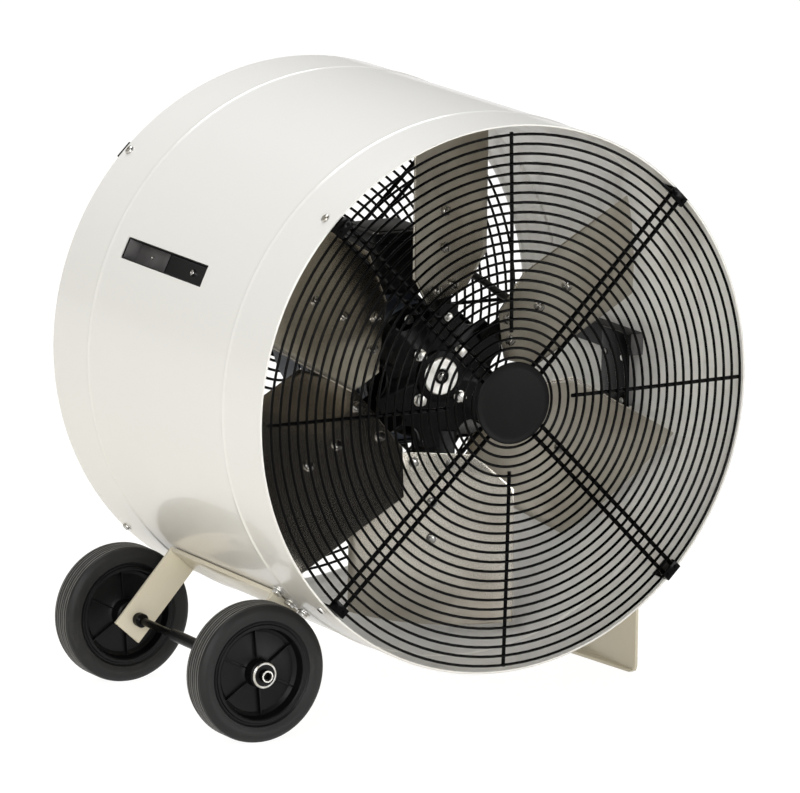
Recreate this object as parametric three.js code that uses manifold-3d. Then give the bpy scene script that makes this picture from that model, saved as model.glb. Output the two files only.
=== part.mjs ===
// Mobile drum fan: a painted steel drum with a wire guard on each end, a motor on a strap across the
// drum, a six-blade impeller on the motor's shaft, two wheels on one side and a foot on the other.
// Millimetres, +Z up. The air leaves through the front guard, towards -Y.
// The pieces are drawn about the drum's axis, and the last group lifts them onto their wheels.
import * as THREE from "three";
import { mergeVertices } from "three/addons/utils/BufferGeometryUtils.js";
import Module from "manifold-3d";

const wasm = await Module();
wasm.setup();

const CLEARANCE = 0.3; // left between pieces that touch
const DEGREE = Math.PI / 180;

// Drum
const DRUM_RADIUS = 315;
const DRUM_LENGTH = 500;
const DRUM_WALL = 2.5;
const DRUM_SEGMENTS = 80;
const BEAD_FROM_END = 88;
const BEAD_HEIGHT = 2.2;
const BEAD_WIDTH = 9;
const DRUM_INSIDE = DRUM_RADIUS - DRUM_WALL;
const FRONT = -DRUM_LENGTH / 2;
const REAR = DRUM_LENGTH / 2;
const DIAGONALS = [45, 135, 225, 315];

// Wire guards
const GUARD_RINGS = 12;
const RING_FIRST = 51.5;
const RING_LAST = 304.5;
const RING_WIRE = 2.5;
const SPOKE_WIRE = 4.5;
const SPOKE_PAIR_SPACING = 14;
const SINGLE_SPOKE_WIRE = 3.5;
const SINGLE_SPOKE_START = 90;
const SPOKE_INNER_END = 38;
const SPOKE_OUTER_END = 307.5;
const GUARD_PROUD = 7.2; // how far the guard's outermost ring stands in front of the drum's end
const GUARD_DOME = 7.4; // how far the guard's middle stands in front of its outermost ring
const DISC_RADIUS = 47;
const DISC_THICKNESS = 2;
const CLIP_WIDTH = 22;
const CLIP_THICKNESS = 2;
const CLIP_INNER_END = 299;
const CLIP_LEG_LENGTH = 34;
const SCREW_HEAD_RADIUS = 6;
const SCREW_HEAD_HEIGHT = 3.2;
const SCREW_SHANK_RADIUS = 2.6;
const FRONT_SCREW_FROM_END = 22;
const REAR_SCREW_FROM_END = 12;

// Recessed handles
const HANDLES = [
  { name: "handle_cup_left", angle: 155, frontEnd: FRONT + 188.5 },
  { name: "handle_cup_right", angle: -0.8, frontEnd: FRONT + 222 },
];
const HANDLE_LENGTH = 192;
const HANDLE_HEIGHT = 26;
const HANDLE_DEPTH = 20.5;
const HANDLE_WALL = 2;

// Impeller
const BLADE_COUNT = 6;
const BLADE_CHORD = 189;
const BLADE_MIDDLE = 8; // how far the blade's middle lies behind the radius, across the chord
const BLADE_PITCH = 34.3;
const BLADE_CAMBER = 7;
const BLADE_THICKNESS = 2;
const BLADE_TIP_RADIUS = 291;
const BLADE_ROOT_RADIUS = 90;
const BLADE_SHOULDER_RADIUS = 128;
const BLADE_ROOT_WIDTH = 96;
const BLADE_STEPS = 8;
const IMPELLER_Y = FRONT + 149; // middle of the blades' front face
const SPIDER_RADIUS = 70;
const SPIDER_THICKNESS = 6;
const ARM_WIDTH = 50;
const ARM_THICKNESS = 4;
const ARM_END_RADIUS = 214;
const BOSS_RADIUS = 30;
const BOSS_FACE_RADIUS = 22;
const BOSS_REAR_RADIUS = 34;
const SPIDER_FRONT = IMPELLER_Y + 3;
const BOSS_FRONT = IMPELLER_Y - 3;
const BOSS_REAR = SPIDER_FRONT + 18;

// Motor
const SHAFT_RADIUS = 12;
const MOTOR_RADIUS = 78;
const MOTOR_FRONT = FRONT + 192;
const MOTOR_LENGTH = 142;
const SHIELD_THICKNESS = 12;
const STATOR_BORE = 50;
const ROTOR_RADIUS = 48.5;
const ROTOR_LENGTH = 108;
const COWL_LENGTH = 66;
const COWL_WALL = 2;
const FAN_RADIUS = 66;
const FAN_VANES = 8;
const FOOT_PAD_WIDTH = 120;
const BOX_WIDTH = 76;
const BOX_LENGTH = 84;
const BOX_HEIGHT = 62;
const BOX_LID_HEIGHT = 12;
const BOX_FRONT = MOTOR_FRONT + 48;
const MOTOR_REAR = MOTOR_FRONT + MOTOR_LENGTH;

// Strap that carries the motor
const STRAP_THICKNESS = 4;
const STRAP_FRONT = FRONT + 215.7;
const STRAP_WIDTH = 74;
const STRAP_BEND_ANGLE = -17; // where the flat strap meets the drum's wall
const STRAP_END_X = 287.4; // the upright ends stand clear of the handle's cup
const STRAP_END_WIDTH = 58;
const STRAP_END_TOP = 10;
const STRAP_OUTSIDE = DRUM_INSIDE - 0.8;
const STRAP_TOP = STRAP_OUTSIDE * Math.sin(STRAP_BEND_ANGLE * DEGREE) + STRAP_THICKNESS;
const BOLT_RADIUS = 7;
const BOLT_HEIGHT = 5;

// Supply lead
const GLAND_ANGLE = 6;
const GLAND_Y = FRONT + 440;
const GLAND_RADIUS = 11;
const GLAND_SHANK_RADIUS = 8;
const GLAND_LENGTH = 15;
const LEAD_RADIUS = 4.5;

// Wheels
const WHEEL_RADIUS = 80;
const TYRE_WIDTH = 40;
const RIM_RADIUS = 61;
const RIM_WIDTH = 35;
const RIM_INSIDE = 53;
const WEB_THICKNESS = 8;
const HUB_CORE_RADIUS = 15.5;
const HUB_CORE_LENGTH = 42;
const WHEEL_SEGMENTS = 32;
const AXLE_RADIUS = 7;
const AXLE_X = -270;
const AXLE_Z = -303;
const WHEEL_Y = 161; // each side of the drum's middle
const WASHER_RADIUS = 15;
const WASHER_THICKNESS = 2.5;
const AXLE_END = WHEEL_Y + HUB_CORE_LENGTH / 2 + 8;

// Bracket that carries the axle
const BRACKET_WIDTH = 40;
const BRACKET_THICKNESS = 5;
const BRACKET_HALF_SPAN = 125;
const BRACKET_BEYOND_AXLE = 21;
const BRACKET_ANGLE = Math.atan2(AXLE_Z, AXLE_X) / DEGREE;
const BRACKET_BOLT_FROM_LEG = 9; // in front of the front leg, in a row across the bracket
const BRACKET_BOLT_SPACING = 22;

// Foot
const FOOT_X = 277;
const FOOT_THICKNESS = 4;
const FOOT_HALF_LENGTH = 82;
const FOOT_TOP_ANGLE = -26;
const FOOT_TOP_HALF = 25;
const FOOT_FLANGE_FRONT = 5;
const FOOT_FLANGE_REAR = 26;
const FLOOR = AXLE_Z - WHEEL_RADIUS;

const paint = (color, roughness, metalness) =>
  new THREE.MeshStandardMaterial({ color, roughness, metalness });
const WHITE_PAINT = () => paint("#efedea", 0.35, 0);
const CREAM_PAINT = () => paint("#cfc8b2", 0.45, 0);
const BLACK_GLOSS = () => paint("#141416", 0.3, 0);
const BLACK_PLASTIC = () => paint("#1b1b1d", 0.5, 0);
const RUBBER = () => paint("#202021", 0.8, 0);
const ZINC = () => paint("#b9bbbd", 0.35, 0.9);
const BLADE_METAL = () => paint("#807e76", 0.35, 0.9);
const MOTOR_PAINT = () => paint("#3a475a", 0.5, 0.1);

// A geometry with positions only, shared vertices merged and faces pointing outwards.
function bare(geometry) {
  const open = geometry.index ? geometry.toNonIndexed() : geometry.clone();
  for (const name of Object.keys(open.attributes)) {
    if (name !== "position") open.deleteAttribute(name);
  }
  const merged = mergeVertices(open, 1e-3);
  const p = merged.attributes.position;
  const index = Array.from(merged.index.array);
  const a = new THREE.Vector3();
  const b = new THREE.Vector3();
  const c = new THREE.Vector3();
  let volume = 0;
  for (let i = 0; i < index.length; i += 3) {
    a.fromBufferAttribute(p, index[i]);
    b.fromBufferAttribute(p, index[i + 1]);
    c.fromBufferAttribute(p, index[i + 2]);
    volume += a.dot(b.cross(c));
  }
  merged.setIndex(volume < 0 ? index.reverse() : index);
  return merged;
}

function toSolid(geometry) {
  const closed = bare(geometry);
  const mesh = new wasm.Mesh({
    numProp: 3,
    vertProperties: closed.attributes.position.array,
    triVerts: new Uint32Array(closed.index.array),
  });
  return new wasm.Manifold(mesh);
}

function toGeometry(solid) {
  const mesh = solid.getMesh();
  const positions = new Float32Array(mesh.vertProperties);
  return new THREE.BufferGeometry()
    .setAttribute("position", new THREE.BufferAttribute(positions, 3))
    .setIndex(new THREE.BufferAttribute(new Uint32Array(mesh.triVerts), 1));
}

const joined = (...parts) => toGeometry(parts.map(toSolid).reduce((a, b) => a.add(b)));

const cut = (body, ...tools) =>
  toGeometry(tools.map(toSolid).reduce((a, b) => a.subtract(b), toSolid(body)));

// A named mesh, placed by an optional position and turn about the drum's axis.
function piece(name, geometry, material, position = [0, 0, 0]) {
  const mesh = new THREE.Mesh(bare(geometry), material);
  mesh.name = name;
  mesh.position.set(...position);
  return mesh;
}

// A group whose +X points away from the drum's axis at an angle: 0 is right, 90 is up.
function radialGroup(angle, ...children) {
  const group = new THREE.Group();
  group.rotation.y = -angle * DEGREE;
  group.add(...children);
  return group;
}

// A turned shape about the Y axis from [radius, y] points; the outline closes on itself.
function turned(points, segments = 32) {
  const outline = [...points, points[0]].map(([r, y]) => new THREE.Vector2(r, y));
  return new THREE.LatheGeometry(outline, segments);
}

const block = (x, y, z) => new THREE.BoxGeometry(x, y, z);

const rod = (radius, length, sides = 12) =>
  new THREE.CylinderGeometry(radius, radius, length, sides);

// A rod along X, which is the radial direction inside a radialGroup.
const radialRod = (radius, length, sides = 12) => rod(radius, length, sides).rotateZ(Math.PI / 2);

// An outline of [x, z] points drawn out along Y, from its front end.
function drawnAlongY(points, front, length) {
  const shape = new THREE.Shape(points.map(([x, z]) => new THREE.Vector2(x, z)));
  const geometry = new THREE.ExtrudeGeometry(shape, { depth: length, bevelEnabled: false });
  return geometry.rotateX(Math.PI / 2).translate(0, front + length, 0);
}

// Points on an arc about the drum's axis, angles in degrees.
function arc(radius, from, to, steps) {
  return Array.from({ length: steps + 1 }, (_, i) => {
    const angle = (from + ((to - from) * i) / steps) * DEGREE;
    return [radius * Math.cos(angle), radius * Math.sin(angle)];
  });
}

// ---- Drum

function drumOutline() {
  const outline = [
    [DRUM_INSIDE, FRONT],
    [DRUM_RADIUS, FRONT],
  ];
  for (const y of [FRONT + BEAD_FROM_END, REAR - BEAD_FROM_END]) {
    outline.push([DRUM_RADIUS, y - BEAD_WIDTH / 2]);
    outline.push([DRUM_RADIUS + BEAD_HEIGHT, y]);
    outline.push([DRUM_RADIUS, y + BEAD_WIDTH / 2]);
  }
  outline.push([DRUM_RADIUS, REAR], [DRUM_INSIDE, REAR]);
  return outline;
}

// A hole's cutter, drawn along the radius at an angle round the drum.
function wallCutter(geometry, angle, y) {
  return geometry.translate(DRUM_RADIUS, y, 0).rotateY(-angle * DEGREE);
}

// Its flats, not its corners, clear the shank.
const screwHole = (radius) => radialRod((radius + CLEARANCE) / Math.cos(Math.PI / 8), 30, 8);

function drumShell() {
  const slots = HANDLES.map(({ angle, frontEnd }) =>
    wallCutter(block(30, HANDLE_LENGTH, HANDLE_HEIGHT), angle, frontEnd + HANDLE_LENGTH / 2),
  );
  const holes = DIAGONALS.flatMap((angle) => [
    wallCutter(screwHole(SCREW_SHANK_RADIUS), angle, FRONT + FRONT_SCREW_FROM_END),
    wallCutter(screwHole(SCREW_SHANK_RADIUS), angle, REAR - REAR_SCREW_FROM_END),
  ]);
  const gland = wallCutter(screwHole(GLAND_SHANK_RADIUS), GLAND_ANGLE, GLAND_Y);
  const shell = cut(turned(drumOutline(), DRUM_SEGMENTS), ...slots, ...holes, gland);
  return piece("drum_shell", shell, WHITE_PAINT());
}

function handleCup({ name, angle, frontEnd }) {
  const length = HANDLE_LENGTH - 2 * CLEARANCE;
  const height = HANDLE_HEIGHT - 2 * CLEARANCE;
  const mouth = DRUM_RADIUS - 1;
  const cup = cut(
    block(HANDLE_DEPTH, length, height),
    block(HANDLE_DEPTH, length - 2 * HANDLE_WALL, height - 2 * HANDLE_WALL).translate(HANDLE_WALL, 0, 0),
  );
  const place = [mouth - HANDLE_DEPTH / 2, frontEnd + HANDLE_LENGTH / 2, 0];
  return radialGroup(angle, piece(name, cup, BLACK_PLASTIC(), place));
}

// ---- Guards

// Spoke wires as { angle, offset, half }: the offset is sideways from the radius at that angle.
function spokeWires() {
  const pairs = DIAGONALS.flatMap((angle) =>
    [-1, 1].map((side) => ({
      angle,
      offset: (side * SPOKE_PAIR_SPACING) / 2,
      half: SPOKE_WIRE / 2,
      start: 0,
    })),
  );
  const singles = [0, 90, 180, 270].map((angle) => ({
    angle,
    offset: 0,
    half: SINGLE_SPOKE_WIRE / 2,
    start: SINGLE_SPOKE_START,
  }));
  return [...pairs, ...singles];
}

// Angles round the guard, in order, each as a function of the radius: the two edges of every spoke
// wire, and a plain point halfway between neighbouring spokes.
function guardSpans() {
  const edges = spokeWires().flatMap((wire) =>
    [-1, 1].map((side) => ({
      at: (r) => wire.angle * DEGREE + Math.asin((wire.offset + side * wire.half) / r),
      opens: side < 0 ? wire : null,
    })),
  );
  const plain = Array.from({ length: 8 }, (_, i) => ({
    at: () => (22.5 + 45 * i) * DEGREE,
    opens: null,
  }));
  return [...edges, ...plain].sort((a, b) => a.at(200) - b.at(200));
}

// Radii at which the guard changes between open gap and ring.
function guardStations() {
  const pitch = (RING_LAST - RING_FIRST) / (GUARD_RINGS - 1);
  const rings = Array.from({ length: GUARD_RINGS }, (_, i) => RING_FIRST + i * pitch);
  const edges = rings.flatMap((r) => [r - RING_WIRE / 2, r + RING_WIRE / 2]);
  return [SPOKE_INNER_END, ...edges, SPOKE_OUTER_END];
}

const domeAt = (r) => GUARD_DOME * Math.max(0, 1 - (r / RING_LAST) ** 2);

// The guard as one lattice of rings and spokes, its outermost ring at y = 0 and its dome towards -Y.
function guardGeometry() {
  const spans = guardSpans();
  const stations = guardStations();
  const count = spans.length;
  const positions = [];
  for (const r of stations) {
    for (const span of spans) {
      const angle = span.at(r);
      for (const depth of [0, RING_WIRE]) {
        positions.push(r * Math.cos(angle), depth - domeAt(r), r * Math.sin(angle));
      }
    }
  }
  const vertex = (s, j, back) => 2 * (s * count + (j % count)) + back;
  const isRing = (s) => s % 2 === 1 && s < stations.length - 1;
  const isSolid = (s, j) => {
    if (s < 0 || s > stations.length - 2) return false;
    const wire = spans[j % count].opens;
    return isRing(s) || (wire !== null && stations[s] > wire.start);
  };
  const index = [];
  const quad = (a, b, c, d) => index.push(a, b, c, a, c, d);
  for (let s = 0; s < stations.length - 1; s++) {
    for (let j = 0; j < count; j++) {
      if (!isSolid(s, j)) continue;
      const a = vertex(s, j, 0);
      const b = vertex(s + 1, j, 0);
      const c = vertex(s + 1, j + 1, 0);
      const d = vertex(s, j + 1, 0);
      quad(a, b, c, d);
      quad(d + 1, c + 1, b + 1, a + 1);
      if (!isSolid(s + 1, j)) quad(b, b + 1, c + 1, c);
      if (!isSolid(s - 1, j)) quad(d, d + 1, a + 1, a);
      if (!isSolid(s, j + 1)) quad(c, c + 1, d + 1, d);
      if (!isSolid(s, j + count - 1)) quad(a, a + 1, b + 1, b);
    }
  }
  return new THREE.BufferGeometry()
    .setAttribute("position", new THREE.Float32BufferAttribute(positions, 3))
    .setIndex(index);
}

function guardDisc() {
  const rim = -domeAt(DISC_RADIUS) - CLEARANCE;
  const middle = -domeAt(0) - CLEARANCE - 0.4;
  return turned(
    [
      [0, middle],
      [DISC_RADIUS - 6, rim - 0.6],
      [DISC_RADIUS, rim],
      [DISC_RADIUS, rim - DISC_THICKNESS + 0.8],
      [DISC_RADIUS - 3, rim - DISC_THICKNESS],
      [0, middle - DISC_THICKNESS],
    ],
    32,
  );
}

// The clip holds the outer ends of a spoke pair: a plate over the wires and a leg along the wall.
function guardClip() {
  const outer = DRUM_INSIDE - 0.7;
  const plateLength = outer - CLIP_INNER_END;
  const legLength = CLIP_LEG_LENGTH + CLIP_THICKNESS;
  const plate = block(plateLength, CLIP_THICKNESS, CLIP_WIDTH).translate(
    CLIP_INNER_END + plateLength / 2,
    -CLIP_THICKNESS / 2,
    0,
  );
  const leg = block(CLIP_THICKNESS, legLength, CLIP_WIDTH).translate(
    outer - CLIP_THICKNESS / 2,
    legLength / 2 - CLIP_THICKNESS,
    0,
  );
  return joined(plate, leg);
}

function guardScrew() {
  const head = radialRod(SCREW_HEAD_RADIUS, SCREW_HEAD_HEIGHT, 10);
  const shank = radialRod(SCREW_SHANK_RADIUS, DRUM_WALL + 1, 8);
  head.translate(DRUM_RADIUS + CLEARANCE + SCREW_HEAD_HEIGHT / 2, 0, 0);
  shank.translate(DRUM_RADIUS + CLEARANCE - DRUM_WALL / 2, 0, 0);
  return joined(head, shank);
}

// One end's guard with its disc, clips and screws, all in a frame that a half turn makes the other
// end's. The drum's end lies at y = 0 and the drum's inside towards +Y.
function guardSet(end, screwFromEnd) {
  const set = new THREE.Group();
  const guard = guardGeometry().translate(0, -GUARD_PROUD, 0);
  set.add(piece(end + "_guard", guard, BLACK_GLOSS()));
  set.add(piece(end + "_guard_disc", guardDisc().translate(0, -GUARD_PROUD, 0), BLACK_GLOSS()));
  DIAGONALS.forEach((angle, i) => {
    const clip = guardClip().translate(0, -GUARD_PROUD - domeAt(CLIP_INNER_END) - CLEARANCE, 0);
    const screw = guardScrew().translate(0, screwFromEnd, 0);
    set.add(
      radialGroup(
        angle,
        piece(`${end}_clip_${i + 1}`, clip, BLACK_GLOSS()),
        piece(`${end}_screw_${i + 1}`, screw, ZINC()),
      ),
    );
  });
  return set;
}

function guards() {
  const front = guardSet("front", FRONT_SCREW_FROM_END);
  front.position.y = FRONT;
  const rear = guardSet("rear", REAR_SCREW_FROM_END);
  rear.rotation.z = Math.PI;
  rear.position.y = REAR;
  return [front, rear];
}

// ---- Impeller

// Half the blade's width across the chord at a radius.
function bladeHalfWidth(radius) {
  const flare = (radius - BLADE_ROOT_RADIUS) / (BLADE_SHOULDER_RADIUS - BLADE_ROOT_RADIUS);
  return THREE.MathUtils.lerp(BLADE_ROOT_WIDTH, BLADE_CHORD, Math.min(1, flare)) / 2;
}

// The rows of the blade's sheet, as radius along the arm and half width.
function bladeRows() {
  const across = (BLADE_CHORD / 2) * Math.cos(BLADE_PITCH * DEGREE);
  const square = Math.sqrt(BLADE_TIP_RADIUS ** 2 - across ** 2);
  return [BLADE_ROOT_RADIUS, BLADE_SHOULDER_RADIUS, square].map((r) => ({
    r,
    half: bladeHalfWidth(r),
  }));
}

// A cambered sheet: u runs across the chord from trailing (front) edge to leading (rear) edge.
function bladeGeometry() {
  const rows = bladeRows();
  const pitch = BLADE_PITCH * DEGREE;
  const tipRow = rows.length - 1;
  const positions = [];
  for (const back of [0, 1]) {
    rows.forEach(({ r, half }, row) => {
      for (let i = 0; i <= BLADE_STEPS; i++) {
        const fromMiddle = half * ((2 * i) / BLADE_STEPS - 1);
        const u = BLADE_MIDDLE + fromMiddle;
        const out = back * BLADE_THICKNESS - BLADE_CAMBER * (2 * fromMiddle / BLADE_CHORD) ** 2;
        const across = u * Math.cos(pitch) - out * Math.sin(pitch);
        const tip = Math.sqrt(BLADE_TIP_RADIUS ** 2 - across ** 2);
        positions.push(row === tipRow ? tip : r, u * Math.sin(pitch) + out * Math.cos(pitch), -across);
      }
    });
  }
  const count = BLADE_STEPS + 1;
  const vertex = (back, row, i) => (back * rows.length + row) * count + i;
  const index = [];
  const quad = (a, b, c, d) => index.push(a, b, c, a, c, d);
  for (let row = 0; row < tipRow; row++) {
    for (let i = 0; i < BLADE_STEPS; i++) {
      quad(vertex(0, row, i), vertex(0, row, i + 1), vertex(0, row + 1, i + 1), vertex(0, row + 1, i));
      quad(vertex(1, row + 1, i), vertex(1, row + 1, i + 1), vertex(1, row, i + 1), vertex(1, row, i));
    }
    quad(vertex(0, row + 1, 0), vertex(1, row + 1, 0), vertex(1, row, 0), vertex(0, row, 0));
    const last = BLADE_STEPS;
    quad(vertex(0, row, last), vertex(1, row, last), vertex(1, row + 1, last), vertex(0, row + 1, last));
  }
  for (let i = 0; i < BLADE_STEPS; i++) {
    quad(vertex(0, 0, i + 1), vertex(0, 0, i), vertex(1, 0, i), vertex(1, 0, i + 1));
    quad(vertex(0, tipRow, i), vertex(0, tipRow, i + 1), vertex(1, tipRow, i + 1), vertex(1, tipRow, i));
  }
  return new THREE.BufferGeometry()
    .setAttribute("position", new THREE.Float32BufferAttribute(positions, 3))
    .setIndex(index)
    .translate(0, IMPELLER_Y, 0);
}

// The spider's arm: a flat bar behind the blade, set at the blade's pitch.
function spiderArm(angle) {
  const start = SPIDER_RADIUS - 22;
  const length = ARM_END_RADIUS - start;
  const gap = BLADE_THICKNESS + 1.2;
  return block(length, ARM_THICKNESS, ARM_WIDTH)
    .translate(start + length / 2, gap + ARM_THICKNESS / 2, -BLADE_MIDDLE)
    .rotateX(BLADE_PITCH * DEGREE)
    .translate(0, IMPELLER_Y, 0)
    .rotateY(-angle * DEGREE);
}

const bladeAngles = () => Array.from({ length: BLADE_COUNT }, (_, i) => 90 - (360 / BLADE_COUNT) * i);

function impellerSpider() {
  const plate = turned(
    [
      [BOSS_FACE_RADIUS, SPIDER_FRONT],
      [SPIDER_RADIUS, SPIDER_FRONT],
      [SPIDER_RADIUS, SPIDER_FRONT + SPIDER_THICKNESS],
      [BOSS_FACE_RADIUS, SPIDER_FRONT + SPIDER_THICKNESS],
    ],
    36,
  );
  return piece("impeller_spider", joined(plate, ...bladeAngles().map(spiderArm)), BLACK_GLOSS());
}

// The boss clamps the spider's plate between its front collar and its rear barrel.
function impellerBoss() {
  const front = turned(
    [
      [0, BOSS_FRONT],
      [BOSS_FACE_RADIUS, BOSS_FRONT],
      [BOSS_RADIUS, BOSS_FRONT + 4],
      [BOSS_RADIUS, SPIDER_FRONT - CLEARANCE],
      [BOSS_FACE_RADIUS - CLEARANCE, SPIDER_FRONT - CLEARANCE],
      [BOSS_FACE_RADIUS - CLEARANCE, SPIDER_FRONT + SPIDER_THICKNESS + CLEARANCE],
      [BOSS_REAR_RADIUS, SPIDER_FRONT + SPIDER_THICKNESS + CLEARANCE],
      [BOSS_REAR_RADIUS, BOSS_REAR],
      [SHAFT_RADIUS + CLEARANCE, BOSS_REAR],
      [SHAFT_RADIUS + CLEARANCE, SPIDER_FRONT + 4],
      [0, SPIDER_FRONT + 4],
    ],
    24,
  );
  return piece("impeller_boss", front, ZINC());
}

function rotorShaft() {
  const start = MOTOR_FRONT + (MOTOR_LENGTH - ROTOR_LENGTH) / 2;
  const shaft = turned(
    [
      [0, SPIDER_FRONT + 4 + CLEARANCE],
      [SHAFT_RADIUS, SPIDER_FRONT + 4 + CLEARANCE],
      [SHAFT_RADIUS, start],
      [ROTOR_RADIUS, start],
      [ROTOR_RADIUS, start + ROTOR_LENGTH],
      [SHAFT_RADIUS, start + ROTOR_LENGTH],
      [SHAFT_RADIUS, MOTOR_REAR + 38],
      [0, MOTOR_REAR + 38],
    ],
    20,
  );
  return piece("rotor_shaft", shaft, ZINC());
}

// The small fan under the motor's cowl.
function coolingFan() {
  const front = MOTOR_REAR + 19;
  const thickness = 16;
  const core = turned(
    [
      [SHAFT_RADIUS + CLEARANCE, front],
      [20, front],
      [20, front + thickness],
      [SHAFT_RADIUS + CLEARANCE, front + thickness],
    ],
    16,
  );
  const vanes = Array.from({ length: FAN_VANES }, (_, i) =>
    block(FAN_RADIUS - 18, thickness - 2, 3)
      .translate((FAN_RADIUS + 18) / 2, front + thickness / 2, 0)
      .rotateY((2 * Math.PI * i) / FAN_VANES),
  );
  return piece("motor_cooling_fan", joined(core, ...vanes), BLACK_PLASTIC());
}

function impeller() {
  const group = new THREE.Group();
  group.add(impellerSpider(), impellerBoss(), rotorShaft(), coolingFan());
  bladeAngles().forEach((angle, i) => {
    group.add(radialGroup(angle, piece(`blade_${i + 1}`, bladeGeometry(), BLADE_METAL())));
  });
  return group;
}

// ---- Motor

function motorHousing() {
  const barrel = turned(
    [
      [STATOR_BORE, MOTOR_FRONT],
      [MOTOR_RADIUS, MOTOR_FRONT],
      [MOTOR_RADIUS, MOTOR_REAR],
      [STATOR_BORE, MOTOR_REAR],
    ],
    32,
  );
  const top = -Math.sqrt(MOTOR_RADIUS ** 2 - (FOOT_PAD_WIDTH / 2) ** 2) - 1;
  const height = top - STRAP_TOP - CLEARANCE;
  const pad = block(FOOT_PAD_WIDTH, STRAP_WIDTH - 10, height + 12).translate(
    0,
    STRAP_FRONT + STRAP_WIDTH / 2,
    STRAP_TOP + CLEARANCE + (height + 12) / 2,
  );
  const bore = rod(MOTOR_RADIUS - 14, MOTOR_LENGTH, 32).translate(0, MOTOR_FRONT + MOTOR_LENGTH / 2, 0);
  return piece("motor_housing", joined(barrel, cut(pad, bore)), MOTOR_PAINT());
}

function motorShield(name, front, boss) {
  const shield = turned(
    [
      [SHAFT_RADIUS + 0.6, front],
      [MOTOR_RADIUS - 4, front],
      [MOTOR_RADIUS, front + 4],
      [MOTOR_RADIUS, front + SHIELD_THICKNESS],
      [SHAFT_RADIUS + 0.6, front + SHIELD_THICKNESS],
    ],
    32,
  );
  if (!boss) return piece(name, shield, MOTOR_PAINT());
  const collar = turned(
    [
      [SHAFT_RADIUS + 0.6, front - boss],
      [28, front - boss],
      [34, front + 1],
      [SHAFT_RADIUS + 0.6, front + 1],
    ],
    32,
  );
  return piece(name, joined(shield, collar), MOTOR_PAINT());
}

function motorCowl() {
  const front = MOTOR_REAR + SHIELD_THICKNESS + 2 * CLEARANCE;
  const rear = front + COWL_LENGTH;
  const inside = MOTOR_RADIUS - COWL_WALL;
  const cowl = turned(
    [
      [inside, front],
      [MOTOR_RADIUS, front],
      [MOTOR_RADIUS, rear - 8],
      [MOTOR_RADIUS - 8, rear],
      [30, rear],
      [30, rear - COWL_WALL],
      [inside - 8, rear - COWL_WALL],
      [inside, rear - 10],
    ],
    32,
  );
  return piece("motor_cowl", cowl, MOTOR_PAINT());
}

function terminalBox() {
  const bottom = MOTOR_RADIUS + CLEARANCE;
  const y = BOX_FRONT + BOX_LENGTH / 2;
  const lidBottom = bottom + BOX_HEIGHT + CLEARANCE;
  const box = block(BOX_WIDTH - 4, BOX_LENGTH - 4, BOX_HEIGHT);
  const lid = block(BOX_WIDTH, BOX_LENGTH, BOX_LID_HEIGHT);
  const gland = radialRod(8, 16, 10);
  const glandPlace = [BOX_WIDTH / 2 - 2 + CLEARANCE + 8, BOX_FRONT + BOX_LENGTH - 24, bottom + 22];
  return [
    piece("terminal_box", box, BLACK_PLASTIC(), [0, y, bottom + BOX_HEIGHT / 2]),
    piece("terminal_box_lid", lid, BLACK_PLASTIC(), [0, y, lidBottom + BOX_LID_HEIGHT / 2]),
    piece("terminal_box_gland", gland, BLACK_PLASTIC(), glandPlace),
  ];
}

// The lead from the terminal box's gland to the gland in the drum's wall.
function supplyLead() {
  const wall = DRUM_INSIDE - 16;
  const cos = Math.cos(GLAND_ANGLE * DEGREE);
  const sin = Math.sin(GLAND_ANGLE * DEGREE);
  const along = (r, y) => new THREE.Vector3(r * cos, y, r * sin);
  const start = new THREE.Vector3(
    BOX_WIDTH / 2 - 2 + 2 * CLEARANCE + 16,
    BOX_FRONT + BOX_LENGTH - 24,
    MOTOR_RADIUS + CLEARANCE + 22,
  );
  const route = new THREE.CatmullRomCurve3([
    start,
    start.clone().add(new THREE.Vector3(14, 0, 0)),
    new THREE.Vector3(98, 49, 93),
    new THREE.Vector3(133, 47, 76),
    new THREE.Vector3(171, 46, 50),
    new THREE.Vector3(204, 60, 41),
    new THREE.Vector3(229, 94, 35),
    new THREE.Vector3(241, 136, 32),
    new THREE.Vector3(255, GLAND_Y - 18, 30),
    along(wall - 16, GLAND_Y),
    along(wall, GLAND_Y),
  ]);
  const section = new THREE.Shape();
  section.absarc(0, 0, LEAD_RADIUS, 0, 2 * Math.PI);
  const lead = new THREE.ExtrudeGeometry(section, {
    steps: 30,
    curveSegments: 4,
    extrudePath: route,
    bevelEnabled: false,
  });
  return piece("supply_lead", lead, BLACK_PLASTIC());
}

function supplyGland() {
  const outside = DRUM_RADIUS + CLEARANCE;
  const nut = radialRod(GLAND_RADIUS, GLAND_LENGTH, 8).translate(outside + GLAND_LENGTH / 2, 0, 0);
  const inner = DRUM_INSIDE - 16 + CLEARANCE;
  const shankLength = outside + 1 - inner;
  const shank = radialRod(GLAND_SHANK_RADIUS, shankLength, 10).translate(inner + shankLength / 2, 0, 0);
  const gland = piece("supply_gland", joined(nut, shank), BLACK_PLASTIC(), [0, GLAND_Y, 0]);
  return radialGroup(GLAND_ANGLE, gland);
}

function motorStrap() {
  const half = STRAP_OUTSIDE * Math.cos(STRAP_BEND_ANGLE * DEGREE) - 2;
  const strap = block(2 * half, STRAP_WIDTH, STRAP_THICKNESS);
  const place = [0, STRAP_FRONT + STRAP_WIDTH / 2, STRAP_TOP - STRAP_THICKNESS / 2];
  return piece("motor_strap", strap, BLACK_GLOSS(), place);
}

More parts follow.
